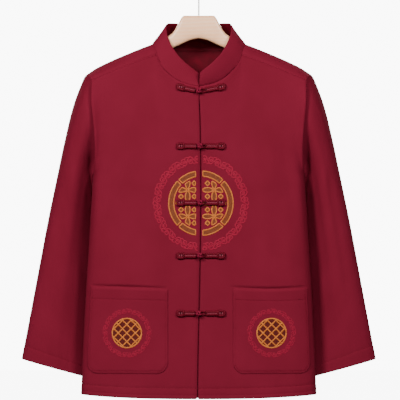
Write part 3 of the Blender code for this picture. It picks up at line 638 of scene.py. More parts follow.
@dataclass
class JacketForm:
    """The coarse grids of the cloth, the same as the solids' own."""

    front_edge: float = 0.0017
    collar_stand: tuple[float, float] = (0.0080, 0.0340)  # how far forward the right and left halves stand
    armpit_z: float = -0.4300
    hem_z: float = -0.8848
    hem_rise: float = 0.0086
    hem_curve: float = 2.6
    pocket_mouth_z: float = -0.6545
    pocket_foot_z: float = -0.8320
    pocket_inner: float = 0.282
    pocket_outer: float = 0.955
    neck_columns: int = 5
    shoulder_columns: int = 6
    back_neck_columns: int = 4
    front_rows_up: int = 10
    back_rows_up: int = 11
    sleeve_rings: int = 17
    collar_rows: int = 4

    body = table(
        "z half_width side_y front_y back_y front_power back_power",
        """
        -0.43 0.222 0.015 -0.061 0.064 2.7 2.4; -0.455 0.2233 0 -0.0625 0.0655 2.8 2.3;
        -0.49 0.2255 -0.007 -0.0635 0.066 3 2.2; -0.56 0.2297 -0.011 -0.0645 0.065 3.2 2.2;
        -0.65 0.2352 -0.012 -0.063 0.063 3.4 2.2; -0.771 0.2415 -0.013 -0.062 0.063 3.4 2.2;
        -0.8872 0.246 -0.013 -0.0635 0.065 3.3 2.2
        """,
    )
    wander = table(
        "down x",
        """
        0.2 0.0014; 0.2343 0.001; 0.26 0.0006; 0.2986 0.0026; 0.366 0.0038; 0.471 0.0042; 0.576 0.0032;
        0.66 0.0016; 0.786 -0.0014; 0.8872 -0.0027
        """,
    )
    neck_front = table(
        "x y z",
        """
        0.0004 -0.056 -0.2343; 0.023 -0.055 -0.23; 0.0441 -0.052 -0.2221; 0.0672 -0.045 -0.2041;
        0.0809 -0.037 -0.1873; 0.0895 -0.0265 -0.1665
        """,
    )
    neck_back = table(
        "x y z", "0 0.048 -0.151; 0.035 0.045 -0.151; 0.07 0.033 -0.1508; 0.0935 0.014 -0.1506"
    )
    ridge = table(
        "x z",
        """
        0.098 -0.1448; 0.126 -0.1556; 0.147 -0.1642; 0.168 -0.173; 0.189 -0.1824; 0.21 -0.1928;
        0.226 -0.2018; 0.238 -0.211
        """,
    )
    shoulder_seam = table(
        "x y z", "0.0895 -0.0265 -0.1665; 0.135 -0.0285 -0.1822; 0.18 -0.03 -0.2005; 0.2247 -0.03 -0.2188"
    )
    armhole_front = table(
        "x y z",
        """
        0.222 0.015 -0.43; 0.2195 -0.024 -0.409; 0.216 -0.043 -0.366; 0.2182 -0.049 -0.319;
        0.224 -0.044 -0.2608; 0.2247 -0.03 -0.2188
        """,
    )
    armhole_back = table(
        "x y z",
        """
        0.222 0.015 -0.43; 0.219 0.044 -0.402; 0.215 0.058 -0.35; 0.2185 0.057 -0.29; 0.228 0.04 -0.242;
        0.2365 0.014 -0.217
        """,
    )
    sleeve_outer = table(
        "share x y z",
        """
        0 0.238 0 -0.211; 0.04 0.2485 0.002 -0.2347; 0.1 0.2617 0.005 -0.2703; 0.2 0.277 0.008 -0.3296;
        0.35 0.2962 0.011 -0.4185; 0.5 0.3148 0.012 -0.5075; 0.7 0.3373 0.012 -0.6261;
        0.85 0.354 0.012 -0.715; 1 0.3709 0.012 -0.804
        """,
    )
    sleeve_under = table(
        "share x y z",
        """
        0 0.222 0.015 -0.43; 0.05 0.224 0.0285 -0.448; 0.12 0.2225 0.032 -0.478; 0.25 0.2232 0.03 -0.533;
        0.5 0.228 0.029 -0.636; 0.75 0.2325 0.026 -0.739; 1 0.236 0.021 -0.842
        """,
    )
    sleeve_depth = table(
        "share half_depth tuck",
        "0 0.0525 0.3; 0.05 0.0515 0.7; 0.14 0.0495 0.76; 0.4 0.044 0.62; 0.7 0.037 0.5; 1 0.027 0.25",
    )
    front_folds = table(
        "x width depth top bottom lean",
        """
        0.185 0.017 0.0032 -0.33 -0.64 -0.02; 0.115 0.02 0.002 -0.3 -0.9 0.022;
        0.056 0.016 0.0016 -0.48 -0.93 0.008; 0.165 0.018 0.0026 -0.62 -0.93 0.015;
        -0.19 0.016 0.0028 -0.34 -0.6 0.016; -0.13 0.021 0.0024 -0.36 -0.92 -0.018;
        -0.07 0.017 0.0018 -0.52 -0.93 -0.01; -0.178 0.019 0.0022 -0.64 -0.93 -0.012
        """,
    )
    back_folds = table(
        "x width depth top bottom lean",
        """
        0.155 0.02 0.004 -0.27 -0.62 -0.025; 0.08 0.024 0.003 -0.36 -0.93 0.02;
        -0.015 0.022 0.0026 -0.48 -0.93 -0.01; -0.105 0.023 0.0034 -0.33 -0.93 -0.016;
        -0.165 0.019 0.0038 -0.28 -0.56 0.028; 0.13 0.018 0.0028 -0.6 -0.93 0.012
        """,
    )
    sleeve_folds = table(
        "side angle width depth start end",
        """
        1 62 16 0.0034 0.22 0.8; 1 118 20 0.004 0.1 0.62; 1 250 22 0.004 0.15 0.7;
        1 300 18 0.003 0.45 1.1; -1 70 18 0.003 0.3 0.9; -1 122 18 0.0042 0.08 0.55;
        -1 240 20 0.0042 0.2 0.78; -1 312 20 0.0028 0.05 0.6
        """,
    )
    collar_top = table(
        "x y z",
        """
        0.0004 -0.027 -0.2058; 0.01 -0.029 -0.1988; 0.0225 -0.029 -0.1893; 0.0431 -0.025 -0.1694;
        0.059 -0.015 -0.1432; 0.068 -0.003 -0.116; 0.0665 0.012 -0.1; 0.051 0.029 -0.1;
        0.025 0.037 -0.0999; 0 0.0395 -0.0998
        """,
    )

    def __post_init__(self) -> None:
        """Place the rows and columns, and make the halves of the body."""
        foot, mouth = self.pocket_foot_z, self.pocket_mouth_z
        pocket_rows, chest_rows = np.linspace(foot, mouth, 6), np.linspace(mouth, self.armpit_z, 7)
        self.lower_levels = [self.hem_z, -0.8600, *pocket_rows, *chest_rows[1:]]
        inner, outer = self.pocket_inner, self.pocket_outer
        on_pocket = (0.392, 0.502, 0.612, 0.722, 0.842)
        self.front_columns = np.array([0, 0.094, 0.188, inner, *on_pocket, outer, 0.992, 1])
        self.back_columns = np.sin(math.pi / 2 * even(10))
        self.strip = self.shoulder_strip()
        self.front_half = self.body_half(True)
        self.back_half = self.body_half(False)

    def fold_depth(self, folds: dict[str, Array], x: Array, z: Array) -> Array:
        """How far the soft folds move the cloth in.

        Args:
            folds: their table.
            x: where the cloth's points lie across the jacket.
            z: where they lie in height.

        Returns:
            The depth at each point.
        """
        depth = np.zeros_like(x)
        for middle, width, deep, top, bottom, lean in zip(*folds.values()):
            reach = (x - (middle + lean * (top - z) / (top - bottom))) / width
            depth += deep * np.exp(-reach * reach) * window(z, top, bottom, 0.060)
        return depth

    def body_row(self, level: float, shares: Array, is_front: bool) -> Array:
        """Half a ring round the lower body.

        Args:
            level: its height.
            shares: where its points lie, from the middle to the side.
            is_front: the front half, or the back half.

        Returns:
            Its points.
        """
        at = {name: float(smooth(self.body["z"], self.body[name], level)) for name in self.body}
        power = at["front_power" if is_front else "back_power"]
        depth = at["front_y" if is_front else "back_y"] - at["side_y"]
        lift = self.hem_rise * ((level - self.armpit_z) / (self.hem_z - self.armpit_z)) ** 2
        y = at["side_y"] + depth * (1 - shares**power) ** (1 / power)
        return np.stack([at["half_width"] * shares, y, level + lift * shares**self.hem_curve], axis=1)

    def front_line(self, z: object) -> object:
        """How far to the left the line between the fronts lies, by height."""
        return np.interp(-np.asarray(z), self.wander["down"], self.wander["x"])

    def swayed(self, points: Array) -> Array:
        """The points with the slight wander of the line between the fronts.

        Args:
            points: points with x, y, z last.

        Returns:
            New points.
        """
        near = bell(points[..., 0], 0.050) * np.clip(0.5 - points[..., 1] / 0.040, 0, 1)
        moved = points.copy()
        moved[..., 0] += self.front_line(points[..., 2]) * near
        return moved

    def half_width(self, z: float) -> float:
        """Half the width of the body at a height."""
        return float(smooth(self.body["z"], self.body["half_width"], z))

    def mouth_bend(self, side: int, share: object) -> object:
        """How far a pocket's mouth lies off its level: the right one tilts, the left one sags."""
        return 0.0026 * (2 * share - 1) if side < 0 else -0.0036 * np.sin(math.pi * share)

    def armhole_x(self, z: Array) -> Array:
        """How far out the body's edge beside the sleeve lies, by height."""
        above = np.interp(z, self.armhole_front["z"], self.armhole_front["x"])
        return np.where(z > self.armpit_z, above, np.interp(-z, -self.body["z"], self.body["half_width"]))

    def shoulder_strip(self) -> Array:
        """The cloth over one shoulder: rows from behind the top fold to the forward seam.

        Returns:
            The grid, for the +X side.
        """
        shares = even(self.shoulder_columns)
        x = np.linspace(self.ridge["x"][0], self.ridge["x"][-1], len(shares))
        ridge = np.stack([x, 0 * x, smooth(self.ridge["x"], self.ridge["z"], x)], axis=1)
        behind = ridge + np.array([0, 0.0140, -0.0058])
        behind[:, 0] -= np.linspace(0.0045, 0.0015, len(shares))
        seam = along(self.shoulder_seam, shares)
        ahead = (ridge + seam) / 2 + np.array([0, 0, 0.0035])
        ahead[:, 1] = -0.0150
        return np.stack([behind, ridge, ahead, seam])

    def body_half(self, is_front: bool) -> Array:
        """Half of the front or the back on the +X side, rows up and columns out from the middle.

        Args:
            is_front: the front's half, else the back's.

        Returns:
            The grid.
        """
        shares = self.front_columns if is_front else self.back_columns
        lower = np.stack([self.body_row(level, shares, is_front) for level in self.lower_levels])
        if is_front:
            lower[:, 0, 0] = self.front_edge
            armhole = along(self.armhole_front, even(self.front_rows_up))
            neck = along(self.neck_front, even(self.neck_columns))
        else:
            armhole = along(self.armhole_back, even(self.back_rows_up))
            neck = along(self.neck_back, even(self.back_neck_columns))
        top = np.concatenate([neck[:-1], self.strip[-1 if is_front else 0]])
        armhole[0], armhole[-1] = lower[-1, -1], top[-1]
        rise = even(len(armhole) - 1)
        middle = lower[-1, 0] * (1 - rise[:, None]) + top[0] * rise[:, None]
        middle[:, 0] += (lower[-1, 0, 0] - top[0, 0]) * (rise - rise**5)
        middle[:, 1] += 0.0025 * np.sin(math.pi * rise) * (-1 if is_front else 1)
        grid = np.concatenate([lower, patch(lower[-1], top, middle, armhole)[1:]])
        self.relax_depth(grid)
        return grid

    def relax_depth(self, grid: Array, passes: int = 40, ramp_rows: int = 4) -> None:
        """Even out how deep the cloth lies round and above the armpits, leaving the edges.

        Args:
            grid: changed in place.
            passes: how often it is evened out.
            ramp_rows: how many rows the effect grows over.
        """
        depth = grid[:, :, 1]
        past = np.arange(1, len(grid) - 1) - len(self.lower_levels) + 1 + ramp_rows
        share = 0.5 * ramp(past, ramp_rows)[:, None]
        for _ in range(passes):
            mean = 0.4 * (depth[:-2, 1:-1] + depth[2:, 1:-1]) + 0.1 * (depth[1:-1, :-2] + depth[1:-1, 2:])
            depth[1:-1, 1:-1] += share * (mean - depth[1:-1, 1:-1])

    def folded(self, side: int, is_front: bool) -> Array:
        """A half of the body on one side, with the soft folds of its own side.

        Args:
            side: 1 for +X, -1 for -X.
            is_front: the front's half, else the back's.

        Returns:
            The grid.
        """
        grid = (self.front_half if is_front else self.back_half) * mirrored(side)
        shares = self.front_columns if is_front else self.back_columns
        below = len(self.lower_levels)
        rise = ramp(np.arange(len(grid)) - below + 1, len(grid) - below)
        free = (1 - shares[None, :] ** 8) * (1 - rise[:, None] ** 3)
        folds = self.front_folds if is_front else self.back_folds
        depth = free * self.fold_depth(folds, grid[:, :, 0], grid[:, :, 2])
        grid[:, :, 1] += depth if is_front else -depth
        return self.swayed(grid)

    def sleeve_section(self, share: float, angles: Array) -> Array:
        """One ring of the sleeve at a share of the way down, without the armhole's own form.

        Args:
            share: 0 at the top, 1 at the cuff.
            angles: the places round the ring, in radians.

        Returns:
            A point for each angle.
        """
        outer, under, (depth, tuck) = (
            np.array([smooth(curve["share"], curve[name], share) for name in list(curve)[1:]])
            for curve in (self.sleeve_outer, self.sleeve_under, self.sleeve_depth)
        )
        inwards = ramp(0.35 - np.cos(angles), 1.35)
        inwards = inwards**2 * (3 - 2 * inwards)
        flatness = 1 - np.where(np.sin(angles) > 0, tuck, 0.15) * inwards
        ring = (outer + under) / 2 + np.cos(angles)[:, None] * (outer - under) / 2
        ring[:, 1] -= depth * np.sin(angles) * flatness
        return ring

    def sleeve(self, side: int) -> Array:
        """Rings from the armhole to the cuff. Angle 0 is the outer edge, 90 the front.

        Args:
            side: 1 for +X, -1 for -X.

        Returns:
            The grid.
        """
        front = self.front_half[::-1, -1][1 : self.front_rows_up + 1]
        armhole = np.concatenate([self.strip[1:, -1], front, self.back_half[len(self.lower_levels) :, -1]])
        angles = 2 * math.pi * np.arange(len(armhole)) / len(armhole)
        own_form = armhole - self.sleeve_section(0.0, angles)
        rings = []
        for share in even(self.sleeve_rings) ** 1.12:
            ring = self.sleeve_section(share, angles) + max(0.0, 1 - share / 0.34) ** 2 * own_form
            depth = np.zeros(len(angles))
            for own, angle, width, deep, start, end in zip(*self.sleeve_folds.values()):
                turn = (np.degrees(angles) - angle) / width
                depth += (own == side) * deep * window(-share, -start, -end, 0.12) * np.exp(-turn * turn)
            rings.append(ring + unit(ring.mean(axis=0) - ring) * depth[:, None])
        return np.stack(rings) * mirrored(side)

    def collar(self) -> Array:
        """The collar from the whole neckline, left front edge to right, up to its top.

        Returns:
            The grid, rows from the neckline to the top.
        """
        behind = self.back_half[-1, : self.back_neck_columns + 1]
        over = [self.strip[2, 0], self.strip[1, 0]]
        half = np.concatenate([self.front_half[-1, : self.neck_columns + 1], over, behind[::-1]])
        neckline = np.concatenate([half, half[-2::-1] * mirrored(-1)])
        top = along(self.collar_top, lengths_of(half) / lengths_of(half)[-1])
        ahead = ramp(-top[:, 1:2], 0.028) * np.array([0, 1, 0])
        left, right = (top - stand * ahead for stand in self.collar_stand[::-1])
        top = np.concatenate([left[:-1], right[::-1] * mirrored(-1)])
        rise = even(self.collar_rows)[:, None, None]
        grid = neckline[None] * (1 - rise) + top[None] * rise
        return self.swayed(grid - 0.0022 * np.sin(math.pi * rise) * to_neck_axis(grid))


# ---------------------------------------------------------------- pieces


def attach(piece: Object, slot: Slot | None, nodes: Sequence[str] = ()) -> Object:
    """Ride a piece on the jacket, and hide the solids that it replaces.

    Args:
        piece: the new object.
        slot: the material slot that it takes its finish from, or None; not used.
        nodes: the solids that it replaces.

    Returns:
        The same object.
    """
    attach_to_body(piece, "root")
    if nodes:
        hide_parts(*nodes)
    return piece


def mesh_piece(
    name: str,
    points: Sequence[Sequence[float]],
    faces: Sequence[Sequence[int]],
    finishes: Sequence[Finish],
    corner_uv: Array | None = None,
    finish_of: Array | None = None,
) -> Object:
    """Make one mesh object, shaded smooth with its hard edges kept.

    Args:
        name: the piece's name.
        points: its vertices.
        faces: the vertices of each face.
        finishes: its finishes.
        corner_uv: metres along the cloth or cord at each corner of each face.
        finish_of: the number of each face's finish.

    Returns:
        The new object.
    """
    mesh = bpy.data.meshes.new(name)
    mesh.from_pydata(np.asarray(points, float).tolist(), [], [[int(i) for i in face] for face in faces])
    for finish in finishes:
        mesh.materials.append(finish.material())
    if finish_of is not None:
        mesh.polygons.foreach_set("material_index", np.asarray(finish_of, np.int32))
    if corner_uv is not None:
        mesh.uv_layers.new(name=CLOTH_UV).data.foreach_set("uv", np.asarray(corner_uv, np.float32).ravel())
    mesh.shade_smooth()
    mesh.set_sharp_from_angle(angle=SHARP_ANGLE)
    piece = bpy.data.objects.new(name, mesh)
    bpy.context.scene.collection.objects.link(piece)
    return piece


def shell(
    points: list[Vector], sides: int, step: float, spans: Sequence[tuple[float, float]], end: float = 0.0
) -> Tube:
    """Close rings of points into a tube.

    Args:
        points: the points, ring by ring.
        sides: how many lie in a ring.
        step: the metres between them in the UVs.
        spans: where each stretch between two rings starts and ends in the UVs.
        end: where the flat ends lie in the UVs.

    Returns:
        The tube.
    """
    faces, uvs = [], []
    for i, (v, w) in enumerate(spans):
        for k in range(sides):
            a, b = i * sides + k, i * sides + (k + 1) % sides
            faces.append((a, b, b + sides, a + sides))
            u = k * step
            uvs += [(u, v), (u + step, v), (u + step, w), (u, w)]
    last = len(points) - sides
    faces += [tuple(range(sides))[::-1], tuple(range(last, last + sides))]
    return points, faces, uvs + [(0.0, end)] * (2 * sides)


def cord(
    path: Array,
    across: float,
    out: float,
    sides: int = 12,
    ends: float = 0.6,
    centre: Vector | None = None,
    step: float = 0.0,
) -> Tube:
    """A closed cord of oval section along a path.

    Args:
        path: the points of its middle line.
        across: half its width along the cloth.
        out: half its thickness off the cloth.
        sides: the points round it.
        ends: how far its ends shrink, as a share.
        centre: the middle of the ball that it lies on, if it doesn't lie on flat cloth.
        step: the metres between the points round it in the UVs, if not as measured.

    Returns:
        The cord.
    """
    lengths, last = lengths_of(path), len(path) - 1
    turns = [2 * math.pi * k / sides for k in range(sides)]
    points = []
    for i, place in enumerate(path):
        ahead = Vector(path[min(i + 1, last)] - path[max(i - 1, 0)]).normalized()
        facing = FORWARDS if centre is None else (Vector(place) - centre).normalized()
        side = ahead.cross(facing).normalized()
        up = side.cross(ahead).normalized()
        size = ends if i in (0, last) else 1.0
        for turn in turns:
            offset = side * (math.cos(turn) * across * size) + up * (math.sin(turn) * out * size)
            points.append(Vector(place) + offset)
    round_step = step or 2 * math.pi * (across + out) / 2 / sides
    return shell(points, sides, round_step, list(zip(lengths, lengths[1:])))


def joined(name: str, tubes: Sequence[Tube], finish: Finish) -> Object:
    """Make several cords or threads one piece, with every face outwards.

    Args:
        name: the piece's name.
        tubes: what cord or shell gave for each.
        finish: their finish.

    Returns:
        The piece.
    """
    points, faces, uvs = [], [], []
    for tube_points, tube_faces, tube_uvs in tubes:
        faces += [tuple(i + len(points) for i in face) for face in tube_faces]
        points += tube_points
        uvs += tube_uvs
    piece = mesh_piece(name, points, faces, [finish], np.array(uvs))
    shape = bmesh.new()
    shape.from_mesh(piece.data)
    bmesh.ops.recalc_face_normals(shape, faces=shape.faces)
    shape.to_mesh(piece.data)
    shape.free()
    return piece


@dataclass
class StitchRow:
    """A row of lockstitch: short raised threads laid end to end along a line."""

    name: str
    length: float = 0.0034
    gap: float = 0.0011
    radius: float = 0.00034
    sides: int = 5
    ring_uv: float = 0.0004
    stretch_uv: float = 0.0008

    profile = (
        (-0.5, 0.25, -0.9), (-0.30, 0.95, -0.15), (0.0, 1.0, 0.15), (0.30, 0.95, -0.15), (0.5, 0.25, -0.9)
    )

    def stitch(self, place: Array, forward: Vector, out: Vector, middle: float) -> Tube:
        """One stitch.

        Args:
            place: its middle.
            forward: the direction along it.
            out: the direction off the cloth.
            middle: how far along the row it lies.

        Returns:
            Its thread.
        """
        across = forward.cross(out).normalized()
        out = across.cross(forward)
        turns = [2 * math.pi * (k + 0.5) / self.sides for k in range(self.sides)]
        points = []
        for share, size, sink in self.profile:
            for turn in turns:
                side = across * (math.cos(turn) * self.radius * size)
                lift = out * (math.sin(turn) * self.radius * size + sink * self.radius)
                points.append(Vector(place) + forward * (share * self.length) + side + lift)
        starts = [middle + share * self.length for share, _, _ in self.profile[:-1]]
        return shell(points, self.sides, self.ring_uv, [(v, v + self.stretch_uv) for v in starts], middle)

    def build(self, lines: Sequence[tuple[Array, Array]]) -> Object:
        """Make every stitch of one or more lines as one piece.

        Args:
            lines: for each line, its points on the cloth and the outward direction at each.

        Returns:
            The piece.
        """
        stitches = []
        for line, outward in lines:
            lengths = lengths_of(line)
            pitch = self.length + self.gap
            for number in range(int(lengths[-1] / pitch)):
                middle = (number + 0.5) * pitch
                place = spline(lengths, line, np.array([middle, middle + 0.0004]))
                forward = Vector(place[1] - place[0]).normalized()
                out = Vector([float(np.interp(middle, lengths, outward[:, k])) for k in range(3)])
                stitches.append(self.stitch(place[0], forward, out.normalized(), middle))
        return attach(joined(self.name, stitches, SEWING_THREAD), Slot.CLOTH)


class ClothFace:
    """The face of a sewn panel, for what lies on it."""

    shifts = (0.0, 0.0006, -0.0006, 0.0015, -0.0015, 0.003, -0.003)

    def __init__(self, tree: BVHTree) -> None:
        """Keep the face's tree."""
        self.tree = tree

    def at(self, x: float, z: float) -> tuple[Array, Array]:
        """Where the face lies at (x, z), seen from the front, and its outward direction.

        Args:
            x: across.
            z: up.

        Returns:
            The point and the unit direction.
        """
        for shift in self.shifts:
            place, normal, _, _ = self.tree.ray_cast(Vector((x + shift, -1.0, z)), -FORWARDS)
            if place is not None:
                return np.array([x, place.y, z]), np.array(normal if normal.y < 0 else -normal)
        raise ValueError(f"no cloth at x {x:.4f}, z {z:.4f}")

    def line(self, flat: Array, lift: float) -> tuple[Array, Array]:
        """Lay (x, z) points on the face, a lift off it, and give the outward direction at each."""
        places, outward = (np.array(v) for v in zip(*(self.at(float(x), float(z)) for x, z in flat)))
        return places + outward * lift, outward


# ---------------------------------------------------------------- cloth panels


@dataclass
class FineGrid:
    """A refined grid of cloth: its points and how far each lies up and across."""

    points: Array
    up: Array
    across: Array

    @property
    def height(self) -> float:
        """The grid's whole length, from its first row to its last."""
        return float(self.up[-1])

    @property
    def to_sides(self) -> Array:
        """How far each point lies from the nearer end of its row."""
        return np.minimum(self.across - self.across[:, :1], self.across[:, -1:] - self.across)

    def row_at(self, up: float) -> int:
        """The row nearest to a distance from the first one."""
        return int(np.argmin(np.abs(self.up - up)))

    def pull_back(self, last_column: bool = False) -> None:
        """Draw the last row, and the last column, back a hair so that a seam stays open.

        Args:
            last_column: whether the last column is drawn back too.
        """
        pairs = [(self.points[-1], self.points[-2])]
        if last_column:
            pairs.append((self.points[:, -1], self.points[:, -2]))
        for edge, inner in pairs:
            into = inner - edge
            edge += SEAM_GAP * into / np.maximum(np.linalg.norm(into, axis=-1, keepdims=True), 1e-6)


def refine(
    grid: Array,
    spacing: float,
    row_lines: Sequence[float] = (),
    row_edges: Sequence[float] = (),
    column_edges: Sequence[float] = (),
    row_corner: int | None = None,
    column_corners: Sequence[int] = (),
    two_sided: bool = False,
    middle: int = 0,
) -> FineGrid:
    """Refine a coarse grid into a smooth one that passes through its points.

    Args:
        grid: the coarse grid, rows up and columns across.
        spacing: the widest step.
        row_lines: distances from the first row that have a row.
        row_edges: distances from both end rows that have a row.
        column_edges: distances from both end columns that have a column.
        row_corner: the row at which the side edges turn sharply.
        column_corners: the columns at which the last row turns sharply.
        two_sided: whether both side edges turn, or only the last column.
        middle: the coarse column that distances across are measured from.

    Returns:
        The refined grid.
    """
    row_knots, column_knots = mean_lengths(grid), mean_lengths(grid.transpose(1, 0, 2))
    column_at = stations(column_knots[-1], spacing, column_edges, column_knots[list(column_corners)])
    armpit = () if row_corner is None else (row_knots[row_corner],)
    row_at = stations(row_knots[-1], spacing, row_edges, (*row_lines, *armpit))
    wide = crosswise(column_knots, grid, column_at)
    if column_corners:
        near_top = (even(len(grid) - 1) ** 14)[:, None, None]
        turned = broken(column_knots, grid.transpose(1, 0, 2), column_at, column_corners).transpose(1, 0, 2)
        wide += near_top * (turned - wide)
    fine = spline(row_knots, wide, row_at)
    if row_corner is not None:
        share = column_at / column_at[-1]
        near_side = ((np.abs(2 * share - 1) if two_sided else share) ** 10)[None, :, None]
        fine += near_side * (broken(row_knots, wide, row_at, [row_corner]) - fine)
    across = row_lengths(fine)
    centre = np.searchsorted(column_at, column_knots[middle] - 1e-6)
    return FineGrid(fine, row_at, across - across[:, centre : centre + 1])


def roll(distance: Array, depth: float = 0.0008, reach: float = 0.0014) -> Array:
    """How far an edge turns in, by the distance from it."""
    return depth * bell(distance, reach)


def groove(distance: Array, line: float, depth: float) -> Array:
    """How far a line of stitches draws the cloth in, by the distance from an edge."""
    return depth * bell(distance - line, 0.0014)


def pucker(length: Array, distance: Array, depth: float, turn: float) -> Array:
    """The uneven ripple beside a seam.

    Args:
        length: the place along the seam.
        distance: the distance from it.
        depth: half the height of the ripple at the seam.
        turn: where the ripple starts, in radians.

    Returns:
        How far in the cloth lies.
    """
    drift = 1.9 * np.sin(2 * math.pi * length / 0.071 + 2 * turn)
    return depth * np.sin(2 * math.pi * length / 0.0165 + turn + drift) * np.exp(-distance / 0.013)


def turned_up(up: Array, line: float, depth: float) -> Array:
    """How far a turned-up hem stands out below its line of stitches."""
    return depth * np.clip(1 - up / (line + 0.001), 0, 1) ** 0.3


@dataclass(frozen=True)
class Cut:
    """The rectangle that a panel is cut from, its face's area, its thickness and what it hangs from."""

    flat: tuple[float, float]
    area: float
    wall: float
    rests_on: str


class Skin:
    """The outer surface of one panel, as grids that share the points where they meet."""

    def __init__(self) -> None:
        """Start with no grids."""
        self.parts: list[tuple[Array, ...]] = []
        self.count = 0

    def add(self, fine: FineGrid, inside: Array, relief: Array | float, thinning: Array | float) -> "Skin":
        """Add a refined grid, and give the skin itself.

        Args:
            fine: the grid.
            inside: a point on the jacket's inside for each of its points.
            relief: how far in each point of the face lies.
            thinning: how much thinner the wall is at each point.

        Returns:
            The skin.
        """
        grid = fine.points
        rows, columns = grid.shape[:2]
        ids = np.arange(rows * columns).reshape(rows, columns)
        quads = np.stack([ids[:-1, :-1], ids[:-1, 1:], ids[1:, 1:], ids[1:, :-1]], axis=2).reshape(-1, 4)
        flat = grid.reshape(-1, 3)
        corners = flat[quads]
        cross = np.cross(corners[:, 2] - corners[:, 0], corners[:, 3] - corners[:, 1])
        away = corners.mean(axis=1) - np.broadcast_to(inside, grid.shape).reshape(-1, 3)[quads[:, 0]]
        if (cross * away).sum() < 0:
            quads = quads[:, ::-1]
        up = np.broadcast_to(fine.up[:, None], fine.across.shape)
        uv = np.stack([fine.across, up], axis=2).reshape(-1, 2)
        spread = (np.broadcast_to(v, (rows, columns)).ravel() for v in (relief, thinning))
        self.parts.append((flat, *spread, quads + self.count, uv[quads]))
        self.count += len(flat)
        return self

    def build(
        self, name: str, cut: Cut, lined: Callable[[Array], Array] | None = None, outside: Finish = WOOL
    ) -> ClothFace:
        """Make the panel: its face, a wall inwards and rims.

        Args:
            name: the piece's name; one that ends in _cloth replaces the solid named before it.
            cut: what it is cut from.
            lined: for the middle points of faces, whether the inside shows lining there.
            outside: the finish of the face.

        Returns:
            Its face.
        """
        points, relief, thinning, faces, uv = (np.concatenate(part) for part in zip(*self.parts))
        _, first, index = np.unique(np.round(points, 6), axis=0, return_index=True, return_inverse=True)
        faces = index.reshape(-1)[faces]
        points, relief, thinning = points[first], relief[first, None], thinning[first, None]
        corners = points[faces]
        cross = np.cross(corners[:, 2] - corners[:, 0], corners[:, 3] - corners[:, 1])
        normals = np.zeros_like(points)
        for k in range(4):
            np.add.at(normals, faces[:, k], cross)
        normals /= np.maximum(np.linalg.norm(normals, axis=1, keepdims=True), 1e-12)
        outer, inner = points - normals * relief, points - normals * (cut.wall - thinning)
        directed = {(int(f[k]), int(f[(k + 1) % 4])) for f in faces for k in range(4)}
        rim = sorted((a, b) for a, b in directed if (b, a) not in directed)
        step = len(outer)
        uv_at = {int(i): uv[f, k] for f, face in enumerate(faces) for k, i in enumerate(face)}
        rim_uv = [[uv_at[b], uv_at[a], uv_at[a] + cut.wall, uv_at[b] + cut.wall] for a, b in rim]
        is_lining = lined(inner[faces].mean(axis=1)) if lined else np.zeros(len(faces), bool)
        piece = mesh_piece(
            name,
            np.concatenate([outer, inner]),
            [*faces, *(faces[:, ::-1] + step), *((b, a, a + step, b + step) for a, b in rim)],
            [outside, LINING],
            np.concatenate([uv, uv[:, ::-1], np.array(rim_uv).reshape(-1, 4, 2)]),
            np.concatenate([np.zeros(len(faces)), is_lining, np.zeros(len(rim))]),
        )
        LOG.info("%s: face %.4f m2", name, np.linalg.norm(cross, axis=1).sum() / 2)
        node = name.removesuffix("_cloth")
        attach(piece, Slot.CLOTH, [node] if node != name else [])
        return ClothFace(BVHTree.FromPolygons(outer.tolist(), faces.tolist()))


